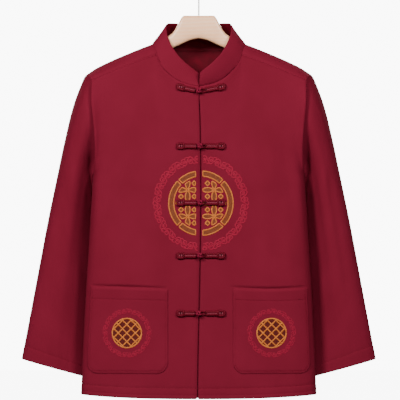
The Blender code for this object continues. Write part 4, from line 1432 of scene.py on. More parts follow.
@dataclass
class Body:
    """The two fronts and the back, which takes in the cloth over the shoulders."""

    form: JacketForm
    spacing: float = 0.0042
    hem_line: float = 0.0225  # the hem's stitches, up from its fold
    facing: float = 0.062  # the wool facing inside the front edges
    inner_hem: float = 0.034
    front_cut: Cut = Cut((0.300, 0.700), 0.170, 0.0018, "hanger_bar")
    back_cut: Cut = Cut((0.560, 0.790), 0.375, 0.0018, "hanger_bar")
    underlap_cut: Cut = Cut((0.026, 0.645), 0.0160, 0.0012, "front_left_cloth")
    underlap_depth: float = 0.0052  # behind the front's edge
    underlap_reach: tuple[float, float] = (-0.0130, 0.0120)
    underlap_ends: tuple[float, float] = (0.0015, 0.0080)  # short of the front's hem and top
    hem_thinning: tuple[float, float] = (0.0007, 0.0012)
    swell_depth: float = 0.0016
    swell_z: tuple[float, float] = (-0.205, -0.470)
    crease_depth: float = 0.0030
    crease_rise: float = 0.0026  # above the pocket's mouth
    faces: dict[int, ClothFace] = field(default_factory=dict)
    hem_lines: list[Array] = field(default_factory=list)

    fold_rows = (0.0008, 0.0022, 0.0050, 0.0066, 0.0080, 0.0094, 0.0110)
    hem_rows = (*fold_rows, 0.0195, 0.0213, 0.0225, 0.0237, 0.0255)
    mouth_rows = np.arange(-0.0060, 0.0110, 0.0011)
    allowance = ((0.0012, 0.0006), (0.0040, 0.0022), (0.0075, 0.0060))  # inwards and down

    def hem_relief(self, fine: FineGrid) -> Array:
        """How the hem's fold and its row of stitches shape the face.

        Args:
            fine: the panel's grid, from the hem up.

        Returns:
            How far in each point lies.
        """
        up = fine.up[:, None]
        folds = roll(up, 0.0008, 0.0012) + groove(up, self.hem_line, 0.0007) + groove(up, 0.0080, 0.0005)
        ripple = pucker(fine.across, np.abs(up - self.hem_line), 0.00028, 0.0)
        return folds - turned_up(up, self.hem_line, 0.00045) + ripple

    def is_lined(self, places: Array) -> Array:
        """Whether the inside shows lining: not on the facings or the turned-up hem."""
        faced = (np.abs(places[:, 0]) < self.facing) & (places[:, 1] < 0)
        return ~faced & (places[:, 2] > self.form.hem_z + self.inner_hem)

    def mouth_crease(self, side: int, fine: FineGrid) -> Array:
        """How far the front dips just above its pocket's mouth, which stands off it.

        Args:
            side: 1 for +X, -1 for -X.
            fine: the front's grid.

        Returns:
            How far in each point lies.
        """
        form, x, z = self.form, abs(fine.points[:, :, 0]), fine.points[:, :, 2]
        half = form.half_width(form.pocket_mouth_z)
        low, high = form.pocket_inner * half, form.pocket_outer * half
        share = ramp(x - low, high - low)
        line = form.pocket_mouth_z + form.mouth_bend(side, share) + self.crease_rise
        reach = np.where(z > line, 0.0034, 0.0022)
        return self.crease_depth * np.sin(math.pi * share) ** 0.5 * bell(z - line, reach)

    def armhole_swell(self, fine: FineGrid, to_side: Array) -> Array:
        """How far the front swells beside the armhole, ahead of the sleeve.

        Args:
            fine: the front's grid.
            to_side: each point's distance from the side.

        Returns:
            How far out each point lies.
        """
        z = fine.points[:, :, 2]
        down = ramp(self.swell_z[0] - z, 0.020) * ramp(z - self.swell_z[1], 0.100)
        return self.swell_depth * down * bell(to_side, 0.030) * (1 - bell(to_side, 0.0016))

    def build_underlap(self, fine: FineGrid) -> None:
        """The strip sewn behind the left front's edge, under the line between the fronts.

        Args:
            fine: the left front's grid.
        """
        reach = np.linspace(*self.underlap_reach, 9)
        kept = (fine.up > self.underlap_ends[0]) & (fine.up < fine.height - self.underlap_ends[1])
        offsets = np.stack([reach, np.full(len(reach), self.underlap_depth), 0 * reach], axis=1)
        points = fine.points[kept, :1] + offsets
        strip = FineGrid(points, fine.up[kept], np.broadcast_to(reach, points.shape[:2]))
        Skin().add(strip, points * UPRIGHT, 0.0, 0.0).build("front_left_underlap", self.underlap_cut)

    def build_front(self, side: int) -> None:
        """One front, from its folded edge to the side seam and the armhole.

        Args:
            side: 1 for +X, -1 for -X.
        """
        form = self.form
        grid = form.folded(side, True)
        mouth = mean_lengths(grid)[form.lower_levels.index(form.pocket_mouth_z)]
        fine = refine(
            grid,
            self.spacing,
            row_lines=(*self.hem_rows, *(mouth + self.mouth_rows)),
            row_edges=SEAM_STEPS,
            column_edges=(*SEAM_STEPS, 0.0060),
            row_corner=len(form.lower_levels) - 1,
            column_corners=(form.neck_columns,),
        )
        fine.pull_back(last_column=True)
        up, across = fine.up[:, None], fine.across
        to_side, to_top = across[:, -1:] - across, fine.height - up
        at_shoulder = ramp(np.abs(fine.points[-1:, :, 0]) - 0.085, 0.010)
        crease, swell = self.mouth_crease(side, fine), self.armhole_swell(fine, to_side)
        relief = (
            self.hem_relief(fine)
            + roll(to_side)
            + roll(to_top, 0.0012 + 0.0020 * at_shoulder, 0.0022)
            + roll(across, 0.0014, 0.0032)
            + crease
            - swell
            + pucker(up, to_side, 0.00018, 1.0)
            + pucker(across, to_top, 0.00018, 2.0)
            - 0.0003 * bell(across - 0.004, 0.003)
        )
        deeper = roll(across, 0.0005, 0.0032) + roll(to_top, 0.0006 + 0.0018 * at_shoulder, 0.0022)
        thinning = roll(up, *self.hem_thinning) - (deeper + crease - swell)
        skin = Skin().add(fine, fine.points * UPRIGHT, relief, thinning)
        self.faces[side] = skin.build(f"front_{SIDES[side]}_cloth", self.front_cut, self.is_lined)
        self.hem_lines.append(fine.points[fine.row_at(self.hem_line), 1:-1])
        if side > 0:
            self.build_underlap(fine)

    def build_back(self) -> None:
        """The back with the cloth over both shoulders, down to the forward seams."""
        form = self.form
        left, right = form.folded(1, False), form.folded(-1, False)
        grid = np.concatenate([right[:, ::-1], left[:, 1:]], axis=1)
        middle = len(form.back_columns) - 1
        necks = (middle - form.back_neck_columns, middle + form.back_neck_columns)
        fine = refine(
            grid,
            self.spacing,
            row_lines=self.hem_rows,
            row_edges=SEAM_STEPS,
            column_edges=SEAM_STEPS,
            row_corner=len(form.lower_levels) - 1,
            column_corners=necks,
            two_sided=True,
            middle=middle,
        )
        knots = mean_lengths(grid.transpose(1, 0, 2))
        low, high = knots[list(necks)]
        places = stations(knots[-1], self.spacing, SEAM_STEPS, (low, high))
        up, to_side = fine.up[:, None], fine.to_sides
        in_neck = (places > low) & (places < high)
        relief = self.hem_relief(fine) + roll(to_side) + pucker(up, to_side, 0.00018, 3.0)
        relief = relief + np.where(in_neck[None, :], roll(fine.height - up, 0.0009), 0.0)
        skin = Skin().add(fine, fine.points * UPRIGHT, relief, roll(up, *self.hem_thinning))
        for side in SIDES:
            keep = places >= high - 1e-9 if side > 0 else places <= low + 1e-9
            out = places[keep]
            share = (out - high) / (knots[-1] - high) if side > 0 else (low - out) / low
            over, shape = self.shoulder(side, share, fine, keep)
            skin.add(over, over.points * np.array([1, 0, 1]) - np.array([0, 0, 0.05]), shape, -0.8 * shape)
        skin.build("back_cloth", self.back_cut, self.is_lined)
        self.hem_lines.append(fine.points[fine.row_at(self.hem_line), 1:-1])

    def shoulder(
        self, side: int, share: Array, fine: FineGrid, keep: Array
    ) -> tuple[FineGrid, Array]:
        """The cloth over one shoulder, which carries on from the back's last row.

        Args:
            side: which shoulder.
            share: how far out each of its columns lies.
            fine: the back's grid.
            keep: which of the back's columns it carries on.

        Returns:
            Its grid and how far in each of its points lies.
        """
        strip = self.form.strip * mirrored(side)
        over_knots = mean_lengths(strip.transpose(1, 0, 2))
        reach = over_knots[-1]
        row_knots = mean_lengths(strip)
        row_at = stations(row_knots[-1], self.spacing, SEAM_STEPS)
        tall = spline(row_knots, crosswise(over_knots, strip, np.clip(share, 0, 1) * reach), row_at)
        tall[0] = fine.points[-1, keep]
        across = np.broadcast_to(fine.across[-1, keep], tall.shape[:2])
        over = FineGrid(tall, fine.height + row_at, across)
        to_seam = row_knots[-1] - row_at[:, None]
        to_neck, to_arm = (share * reach)[None, :], ((1 - share) * reach)[None, :]
        shape = roll(to_seam, 0.0030, 0.0022) + roll(to_neck, 0.0003) + roll(to_arm)
        shape = shape + pucker(across, to_seam, 0.00018, 2.0)
        over.pull_back()
        return self.with_allowance(over, np.broadcast_to(shape, tall.shape[:2]), side)

    def with_allowance(self, over: FineGrid, shape: Array, side: int) -> tuple[FineGrid, Array]:
        """Add the seam allowance, which turns down inside the collar.

        Args:
            over: the cloth over a shoulder.
            shape: how far in each of its points lies.
            side: which shoulder.

        Returns:
            The wider grid and how far in each of its points lies.
        """
        near = 0 if side > 0 else -1
        edge = over.points[:, near]
        inwards = to_neck_axis(edge)
        added = np.stack([edge + inwards * into - down * UPRIGHT for into, down in self.allowance], axis=1)
        steps = np.array([[into + down for into, down in self.allowance]])
        across = over.across[:, near, None] - side * steps
        pairs = (added, over.points), (across, over.across), (np.zeros(across.shape), shape)
        if side > 0:
            pairs = ((new[:, ::-1], old) for new, old in pairs)
        else:
            pairs = ((old, new) for new, old in pairs)
        points, across, shape = (np.concatenate(pair, axis=1) for pair in pairs)
        return FineGrid(points, over.up, across), shape

    def build(self) -> None:
        """Make the three panels and the hem's stitches."""
        for side in SIDES:
            self.build_front(side)
        self.build_back()
        outwards = [unit(line * np.array([0.3, 1, 0])) for line in self.hem_lines]
        lines = [(line - out * STITCH_SINK, out) for line, out in zip(self.hem_lines, outwards)]
        StitchRow("hem_stitches").build(lines)


@dataclass
class Sleeve:
    """A set-in sleeve, one panel with a seam under the arm."""

    form: JacketForm
    side: int
    spacing: float = 0.0042
    cuff_line: float = 0.0250  # the cuff's stitches, up from its fold
    inner_hem: float = 0.036
    seam_point: int = 12  # the ring's point under the arm, where the sleeve's own seam runs
    overrun: int = 4  # the ring's points that the curve runs on past the seam
    valley_depth: float = 0.0235
    valley_z: tuple[float, float] = (-0.208, -0.480)
    valley_fades: tuple[float, float] = (0.036, 0.120)  # below its top and above its foot
    valley_step: float = 0.0009  # how soon it falls away beside the body's edge
    valley_reach: float = 0.0062
    cut: Cut = Cut((0.340, 0.640), 0.152, 0.0018, "back_cloth")

    cuff_rows = (0.0222, 0.0238, 0.0250, 0.0262, 0.0280)

    def valley(self, points: Array) -> Array:
        """How far the sleeve's front falls back beside the body's edge.

        Args:
            points: points of the sleeve.

        Returns:
            A depth for each.
        """
        x, y, z = abs(points[:, :, 0]), points[:, :, 1], points[:, :, 2]
        away = np.clip(x - self.form.armhole_x(z), 0, None)
        (top, foot), (fade, rise) = self.valley_z, self.valley_fades
        here = ramp(-0.002 - y, 0.008) * (ramp(top - z, fade) * ramp(z - foot, rise))
        fall = (1 - np.exp(-away / self.valley_step)) * np.exp(-away / self.valley_reach)
        return self.valley_depth * here * fall

    def grid(self) -> FineGrid:
        """The sleeve's refined grid, from the cuff up and round from the seam.

        Returns:
            The grid.
        """
        rings = self.form.sleeve(self.side)
        count, extra = rings.shape[1], self.overrun
        around = [(self.seam_point + k) % count for k in range(-extra, count + extra + 1)]
        padded = rings[::-1, around]
        knots = mean_lengths(padded.transpose(1, 0, 2))
        first, last = knots[extra], knots[extra + count]
        across = first + stations(last - first, self.spacing, SEAM_STEPS[:2])
        wide = crosswise(knots, padded, across)
        row_knots = mean_lengths(wide)
        rows = stations(row_knots[-1], self.spacing, (0.0008, *SEAM_STEPS[1:]), self.cuff_rows)
        points = spline(row_knots, wide, rows)
        points[:, -1] = points[:, 0]
        lengths = row_lengths(points)
        fine = FineGrid(points, rows, lengths - lengths[:, -1:] / 2)
        fine.pull_back()
        return fine

    def build(self) -> None:
        """Make the sleeve and its cuff stitches."""
        fine = self.grid()
        points, up = fine.points, fine.up[:, None]
        lengths = fine.across - fine.across[:, :1]
        to_armhole, to_seam = fine.height - up, fine.to_sides
        valley = self.valley(points)
        relief = (
            roll(up, 0.0008, 0.0012)
            + groove(up, self.cuff_line, 0.0005)
            - turned_up(up, self.cuff_line, 0.0004)
            + pucker(lengths, np.abs(up - self.cuff_line), 0.00025, 0.5)
            + roll(to_armhole, 0.0010)
            + valley
            + pucker(lengths, to_armhole, 0.00045, 1.2)
            + roll(to_seam, 0.0007)
        )
        centres = points[:, :-1].mean(axis=1, keepdims=True)
        lining_from = float(points[0, :, 2].max()) + self.inner_hem
        skin = Skin().add(fine, centres, relief, roll(up, 0.0007, 0.0012) - valley)
        name = f"sleeve_{SIDES[self.side]}"
        skin.build(f"{name}_cloth", self.cut, lambda places: places[:, 2] > lining_from)
        row = fine.row_at(self.cuff_line)
        outward = unit(points[row] - centres[row])
        StitchRow(f"{name}_cuff_stitches").build([(points[row] - outward * STITCH_SINK, outward)])


@dataclass
class Collar:
    """The standing collar: two layers of wool over a stiff core, rounded at the front."""

    form: JacketForm
    spacing: float = 0.0032
    edges: tuple[float, ...] = (0.0007, 0.0016, 0.0030)
    cut: Cut = Cut((0.460, 0.062), 0.0260, 0.0026, "back_cloth")

    allowance = ((0.0060, 0.0033), (0.0042, 0.0031), (0.0024, 0.0026), (0.0009, 0.0016))  # down and inwards

    def with_allowance(self, fine: FineGrid) -> FineGrid:
        """The collar with its seam allowance, which turns down inside the neckline.

        Args:
            fine: the collar's grid.

        Returns:
            The grid with rows before its first.
        """
        edge = fine.points[0]
        rows = [edge + to_neck_axis(edge) * into - down * UPRIGHT for down, into in self.allowance]
        up = [-math.hypot(down, into) for down, into in self.allowance]
        across = np.broadcast_to(fine.across[0], (len(rows), len(edge)))
        points = np.concatenate([np.stack(rows), fine.points])
        return FineGrid(points, np.concatenate([up, fine.up]), np.concatenate([across, fine.across]))

    def build(self) -> None:
        """Make the collar."""
        grid = self.form.collar()
        middle = grid.shape[1] // 2
        fine = refine(grid, self.spacing, row_edges=self.edges, column_edges=self.edges, middle=middle)
        fine = self.with_allowance(fine)
        up = fine.up[:, None]
        to_top, to_front = fine.height - up, fine.to_sides
        ahead = ramp(0.085 - np.abs(fine.points[:1, :, 0]), 0.02)
        relief = 0.0009 * ahead * roll(up, 1.0, 0.0015) + roll(to_top, 0.0009, 0.0013)
        relief = relief + roll(to_front, 0.0011, 0.0013) + pucker(fine.across, up, 0.0002, 0.7)
        thinning = roll(to_top, 0.0010, 0.0013) + roll(to_front, 0.0010, 0.0013) + 0.0016 * (up < -1e-6)
        skin = Skin().add(fine, fine.points * UPRIGHT + np.array([0, NECK_AXIS_Y, 0]), relief, thinning)
        # the inner layer takes the dark lining finish, not the wool: painted shade for the dark inside of
        # the neck
        skin.build("collar_cloth", self.cut, lambda places: np.ones(len(places), bool), COLLAR_WOOL)


@dataclass
class PatchPocket:
    """A patch pocket with a turned-down top band, rounded lower corners and a gaping mouth."""

    form: JacketForm
    face: ClothFace
    side: int
    inner: float
    lift: float = 0.0006
    gape: float = 0.0026
    corner: float = 0.0240
    band: float = 0.0230  # its stitches, down from the mouth
    edge_line: float = 0.0050  # the stitches beside its edge
    spacing: float = 0.0042
    row_edges: tuple[float, ...] = (0.0008, 0.0020, 0.0038, 0.005, 0.0062)
    column_edges: tuple[float, ...] = (0.005, 0.013, 0.024, 0.031, 0.038)  # as shares
    line_rows: tuple[float, ...] = (-0.0024, -0.0011, 0, 0.0011, 0.0024)
    corner_turns: tuple[int, ...] = (0, 8, 16, 25, 34, 44, 54, 64, 76, 90)
    thread_lift: float = 0.00012
    thread_end: float = 0.0045  # the edge's stitches, down from the mouth

    def edges(self, z: float) -> tuple[float, float]:
        """The inner and outer edge of the pocket at a height, on the +X side.

        Args:
            z: the height.

        Returns:
            The inner and the outer edge's x.
        """
        form = self.form
        below = max(0.0, form.pocket_foot_z + self.corner - z) / self.corner
        narrowing = self.corner * (1 - math.sqrt(max(0.0, 1 - below**2)))
        inner = self.inner * form.half_width(form.pocket_mouth_z)
        return inner + narrowing, form.pocket_outer * form.half_width(z) - narrowing

    def grid(self, wall: float) -> FineGrid:
        """The pocket's face, laid on the front a wall and a lift off it.

        Args:
            wall: the thickness of the pocket's cloth.

        Returns:
            The grid.
        """
        foot, mouth = self.form.pocket_foot_z, self.form.pocket_mouth_z
        height = mouth - foot
        turns = [self.corner * (1 - math.cos(math.radians(t))) for t in self.corner_turns]
        lines = [height - self.band + d for d in self.line_rows]
        rows = foot + stations(height, self.spacing, self.row_edges, turns + lines)
        shares = stations(1.0, 0.026, self.column_edges)
        points = np.zeros((len(rows), len(shares), 3))
        for r, z in enumerate(rows):
            low, high = self.edges(z)
            rise = (z - foot) / height
            for c, share in enumerate(shares):
                bend = self.form.mouth_bend(self.side, share) * rise**2
                place, out = self.face.at(self.side * (low + (high - low) * share), z + bend)
                points[r, c] = place + out * (self.lift + wall)
                points[r, c, 1] -= self.gape * rise**4 * math.sin(math.pi * share)
        across = row_lengths(points)
        return FineGrid(points, rows - foot, across - across[:, -1:] / 2)

    def build(self) -> None:
        """Make the pocket and its stitches."""
        which = SIDES[self.side]
        cut = Cut((0.171, 0.180), 0.0294, 0.0022, f"front_{which}_cloth")
        fine = self.grid(cut.wall)
        up, across, to_side = fine.up[:, None], fine.across, fine.to_sides
        to_mouth = self.form.pocket_mouth_z - self.form.pocket_foot_z - up
        to_edge = np.minimum(to_side, up)
        foot_thin = np.clip(1 - up / 0.008, 0, 1)
        relief = (
            roll(to_edge, 0.0019 - 0.0010 * foot_thin, 0.0015)
            + 0.0010 * foot_thin
            + roll(to_mouth, 0.0010, 0.0016)
            + groove(to_edge, self.edge_line, 0.0005)
            + groove(to_mouth, self.band, 0.0003) * (to_side > self.edge_line)
            - 0.0002 * (to_mouth < self.band)
            + 0.0002 * np.clip(1 - to_edge / self.edge_line, 0, 1) ** 2
            + pucker(across + up, np.abs(to_edge - self.edge_line), 0.00022, 0.3)
            + pucker(across, np.abs(to_mouth - self.band), 0.00015, 1.3)
        )
        skin = Skin().add(fine, fine.points + np.array([0, 0.1, 0]), relief, roll(to_mouth, 0.0006, 0.0012))
        self.top = skin.build(f"pocket_{which}_cloth", cut)
        lines = (self.outline()[1:-1], self.band_line())
        threads = [self.top.line(line, self.thread_lift) for line in lines]
        StitchRow(f"pocket_{which}_stitches").build(threads)

    def outline(self) -> Array:
        """The stitches' line beside the edge, from the mouth down, round the foot and up again.

        Returns:
            Flat points, x and z.
        """
        foot, inset = self.form.pocket_foot_z, self.edge_line
        radius, bend = self.corner - inset, foot + self.corner
        heights = np.linspace(self.form.pocket_mouth_z - self.thread_end, bend, 40)
        inner = [(self.edges(z)[0] + inset, z) for z in heights]
        outer = [(self.edges(z)[1] - inset, z) for z in heights[::-1]]
        low, high = inner[-1][0] + radius, outer[0][0] - radius
        turn = np.radians(np.linspace(0, 90, 16))[1:-1]
        left = [(low - radius * math.cos(t), bend - radius * math.sin(t)) for t in turn]
        right = [(high + radius * math.cos(t), bend - radius * math.sin(t)) for t in turn[::-1]]
        under = [(x, foot + inset) for x in np.linspace(low, high, 30)]
        return np.array(inner + left + under + right + outer) * np.array([self.side, 1])

    def band_line(self) -> Array:
        """The stitches' line under the top band.

        Returns:
            Flat points, x and z.
        """
        foot, mouth, inset = self.form.pocket_foot_z, self.form.pocket_mouth_z, self.edge_line
        z = mouth - self.band
        low, high = self.edges(z)
        shares = np.linspace(inset, high - low - inset, 40) / (high - low)
        bend = self.form.mouth_bend(self.side, shares) * (1 - self.band / (mouth - foot)) ** 2
        return np.stack([self.side * (low + (high - low) * shares), z + bend], axis=1)


# ---------------------------------------------------------------- frogs


@dataclass
class Frog:
    """A frog closure: two double cords with folded ends, a ball knot and its loop."""

    number: int
    z: float
    arm_rise: float
    form: JacketForm
    fronts: dict[int, ClothFace]
    strand: float = 0.0029
    lift: float = 0.0006
    folded_end: float = 0.0185
    knot_side: tuple[float, float] = (-0.0470, -0.0085)
    loop_side: tuple[float, float] = (0.0560, 0.0140)
    knot_off: float = -0.0010  # from the line between the fronts
    knot_radius: float = 0.0064
    knot_flatness: float = 0.66
    loop_cord: float = 0.0017
    loop_turn: float = 0.0042
    loop_end: float = 0.0012  # the loop's start, past the strap's inner end
    parting: float = 0.0045  # how near to the line between the fronts the cloth's depth is read
    clearance: float = 0.0003
    step: float = 0.0016

    @property
    def knot_x(self) -> float:
        """Where the knot lies across the jacket."""
        return self.knot_off + float(self.form.front_line(self.z))

    def cloth_at(self, x: float, z: float) -> float:
        """How deep the front lies at (x, z).

        Args:
            x: across.
            z: up.

        Returns:
            Its y.
        """
        line = float(self.form.front_line(z))
        off = math.copysign(max(abs(x - line), self.parting), x - line)
        return float(self.fronts[1 if off > 0 else -1].at(line + off, z)[0][1])

    def lay(self, flat: Sequence[tuple[float, float]], outer: float, raised: float) -> Array:
        """Lay a flat path of (x, offset from the middle) on the front.

        Args:
            flat: its points.
            outer: the strap's outer end.
            raised: how far off the cloth the middle of the cord is.

        Returns:
            Its points in space.
        """
        points = []
        for x, offset in flat:
            z = self.z + self.arm_rise * (abs(x) / abs(outer)) ** 1.3 + offset
            points.append((x, self.cloth_at(x, z) - self.lift - raised, z))
        path = np.array(points)
        lengths = lengths_of(path)
        keep = np.concatenate([[True], np.diff(lengths) > 1e-5])
        path, lengths = path[keep], lengths[keep]
        return spline(lengths, path, np.linspace(0, lengths[-1], max(6, int(lengths[-1] / self.step))))

    def strap(self, name: str, ends: tuple[float, float]) -> None:
        """One arm of the frog: a cord doubled at its outer end and folded over itself.

        Args:
            name: the node that it stands for.
            ends: where its outer and inner ends lie.
        """
        outer, inner = ends
        inwards = math.copysign(1.0, inner - outer)
        r = self.strand
        fold, tip = outer + inwards * self.folded_end, outer + inwards * r * 1.05
        h, wide = r * 1.02, r * 1.55
        half = (inner + fold) / 2
        hairpin = [(inner, h), (half, h), (fold, h), (fold - inwards * r * 1.4, wide)]
        hairpin += [(tip + inwards * r * 1.2, wide)]
        hairpin += [(tip + inwards * r * 0.15, wide * 0.94), (tip, wide * 0.5)]
        hairpin += [(tip, 0.0)] + [(x, -offset) for x, offset in hairpin[::-1]]
        cords = [cord(self.lay(hairpin, outer, r * 0.86), r * 0.98, r * 0.90)]
        wrap_x = fold - inwards * r * 0.9
        across = self.lay([(wrap_x, share * r) for share in (2.0, 1.3, 0.0, -1.3, -2.0)], outer, r * 1.2)
        across[:, 1] -= r * 0.62 * (1 - np.linspace(-1, 1, len(across)) ** 2) ** 0.5
        across[[0, -1], 1] += r * 0.9
        cords.append(cord(across, r * 0.62, r * 0.42, ends=0.8))
        # The lighter cords along the valley between the strands and across the folded end are a painted
        # highlight, for the light that the cord catches there.
        highlight_path = self.lay([(inner, 0.0), (half, 0.0), (fold - inwards * 0.001, 0.0)], outer, r * 1.30)
        light = [cord(highlight_path, r * 0.26, r * 0.24, sides=8)]
        for reach in (1.35, 3.0):
            x = tip + inwards * r * reach
            turned = self.lay([(x, share * r) for share in (0.85, 0.3, -0.3, -0.85)], outer, r * 1.0)
            light.append(cord(turned, r * 0.48, r * 0.42, sides=8))
        piece = joined(f"{name}_cord", cords, FROG_SATIN)
        attach(joined(f"{name}_painted_highlight", light, PAINTED_HIGHLIGHT_CORD), None)
        attach(piece, Slot.CORD, [name])

    def knot(self, name: str) -> None:
        """The ball knot: one cord woven over and under itself round a small ball.

        Args:
            name: the piece's name.
        """
        cloth = min(self.cloth_at(self.knot_x + side * 0.006, self.z) for side in SIDES)
        standing = 2 * self.loop_cord + self.lift + self.clearance + self.knot_radius * self.knot_flatness
        centre = Vector((self.knot_x, cloth - standing, self.z))
        thick = self.knot_radius * 0.30
        t = np.linspace(0, 2 * math.pi, 220)[:-1]
        latitude, reach = 0.98 * np.cos(4 * t), (self.knot_radius - thick) * (1 + 0.17 * np.sin(8 * t))
        across = reach * np.cos(latitude)
        deep = reach * np.sin(latitude) * self.knot_flatness
        x, z = centre.x + across * np.cos(3 * t), centre.z + across * np.sin(3 * t)
        path = np.stack([x, centre.y - deep, z], axis=1)
        path = np.concatenate([path, path[:2]])
        ball = cord(path, thick, thick * 0.85, sides=8, ends=0.0, centre=centre, step=thick * 0.8)
        # The ball takes a lighter copy of the frog cord, a painted highlight for the light that it catches.
        attach(joined(f"{name}_ball", [ball], LIT_KNOT_SATIN), Slot.CORD, [name])

    def loop(self, name: str) -> None:
        """The loop, from the left strap round the neck of the knot and back.

        Args:
            name: the piece's name.
        """
        start = self.loop_side[1] + self.loop_end
        r = self.strand
        flat = [(start, r * 0.95), (start * 0.80, r * 0.98), (start * 0.5, self.loop_turn)]
        for turn in np.radians(range(60, 301, 30)):
            flat.append((self.knot_x + self.loop_turn * math.cos(turn), self.loop_turn * math.sin(turn)))
        flat += [(x, -z) for x, z in flat[2::-1]]
        spots = [(x, self.z + z) for x in (self.knot_x, start / 2, start) for z in (-0.005, 0.005)]
        cloth = min(self.cloth_at(*spot) for spot in spots)
        path = np.array([(x, cloth - self.lift - self.loop_cord, self.z + z) for x, z in flat])
        lengths = lengths_of(path)
        path = spline(lengths, path, np.linspace(0, lengths[-1], 44))
        # The dark cord across the strap's inner end is painted shade, for the shadow that the knot and loop
        # cast there.
        wrap = [(start + 0.0004, share * r) for share in (1.9, 1.2, 0.4, -0.4, -1.2, -1.9)]
        across = self.lay(wrap, self.loop_side[0], r * 1.35)
        across[[0, -1], 1] += r * 0.9
        attach(joined(f"{name}_binding", [cord(across, 0.0022, 0.0012, sides=10)], PAINTED_SHADE_CORD), None)
        cords = [cord(path, self.loop_cord, self.loop_cord, sides=10)]
        attach(joined(f"{name}_cord", cords, FROG_SATIN), Slot.CORD, [name])

    def build(self) -> None:
        """Make the four pieces."""
        base = f"frog_{self.number}_"
        outer, inner = self.knot_side
        self.strap(base + "strap_right", (outer, inner + self.knot_x - self.knot_off))
        self.strap(base + "strap_left", self.loop_side)
        self.knot(base + "knot")
        self.loop(base + "loop")
        LOG.info("frog %d at z %.4f", self.number, self.z)


# ---------------------------------------------------------------- embroidery


def polar(centre: Sequence[float], radius: object, turn: Array) -> Array:
    """Flat points round a centre."""
    return np.stack([centre[0] + radius * np.cos(turn), centre[1] + radius * np.sin(turn)], axis=1)


def circle(centre: tuple[float, float], radius: float, step: float = 0.0018) -> Array:
    """A closed circle of flat points."""
    return polar(centre, radius, np.linspace(0, 2 * math.pi, max(24, int(2 * math.pi * radius / step)) + 1))


def bars(centre: tuple[float, float], reach: float, offsets: Sequence[float]) -> list[Array]:
    """Slanting lines of flat points through a centre, both ways, at offsets from it.

    Args:
        centre: the flat point that they pass.
        reach: half of a line's length.
        offsets: distances from the centre.

    Returns:
        The lines.
    """
    lines = []
    for turn in (45, 135):
        ahead = np.array([math.cos(math.radians(turn)), math.sin(math.radians(turn))])
        aside = np.array([-ahead[1], ahead[0]])
        places = np.linspace(-reach, reach, 60)[:, None] * ahead
        lines += [np.array(centre) + places + offset * aside for offset in offsets]
    return lines


def runs(line: Array, kept: Array, least: float = 0.0030) -> list[Array]:
    """The unbroken stretches of a line that are kept, shorter ones left out.

    Args:
        line: the line's points.
        kept: whether each point is kept.
        least: the shortest stretch that stays.

    Returns:
        The stretches.
    """
    found, start = [], None
    for i, keep in enumerate([*kept, False]):
        if keep and start is None:
            start = i
        elif not keep and start is not None:
            if i - start > 2 and lengths_of(line[start:i])[-1] > least:
                found.append(line[start:i])
            start = None
    return found


def loops_of(edges: Sequence[tuple[int, int]]) -> list[list[int]]:
    """Join edges end to end into loops.

    Args:
        edges: pairs of point numbers.

    Returns:
        The point numbers of each loop, in order.
    """
    beside: dict[int, list[int]] = {}
    for a, b in edges:
        beside.setdefault(a, []).append(b)
        beside.setdefault(b, []).append(a)
    loops = []
    for start in list(beside):
        while beside[start]:
            loop = [start]
            while beside[loop[-1]]:
                here = loop[-1]
                after = beside[here].pop()
                beside[after].remove(here)
                loop.append(after)
            if len(loop) > 6:
                loops.append(loop)
    return loops


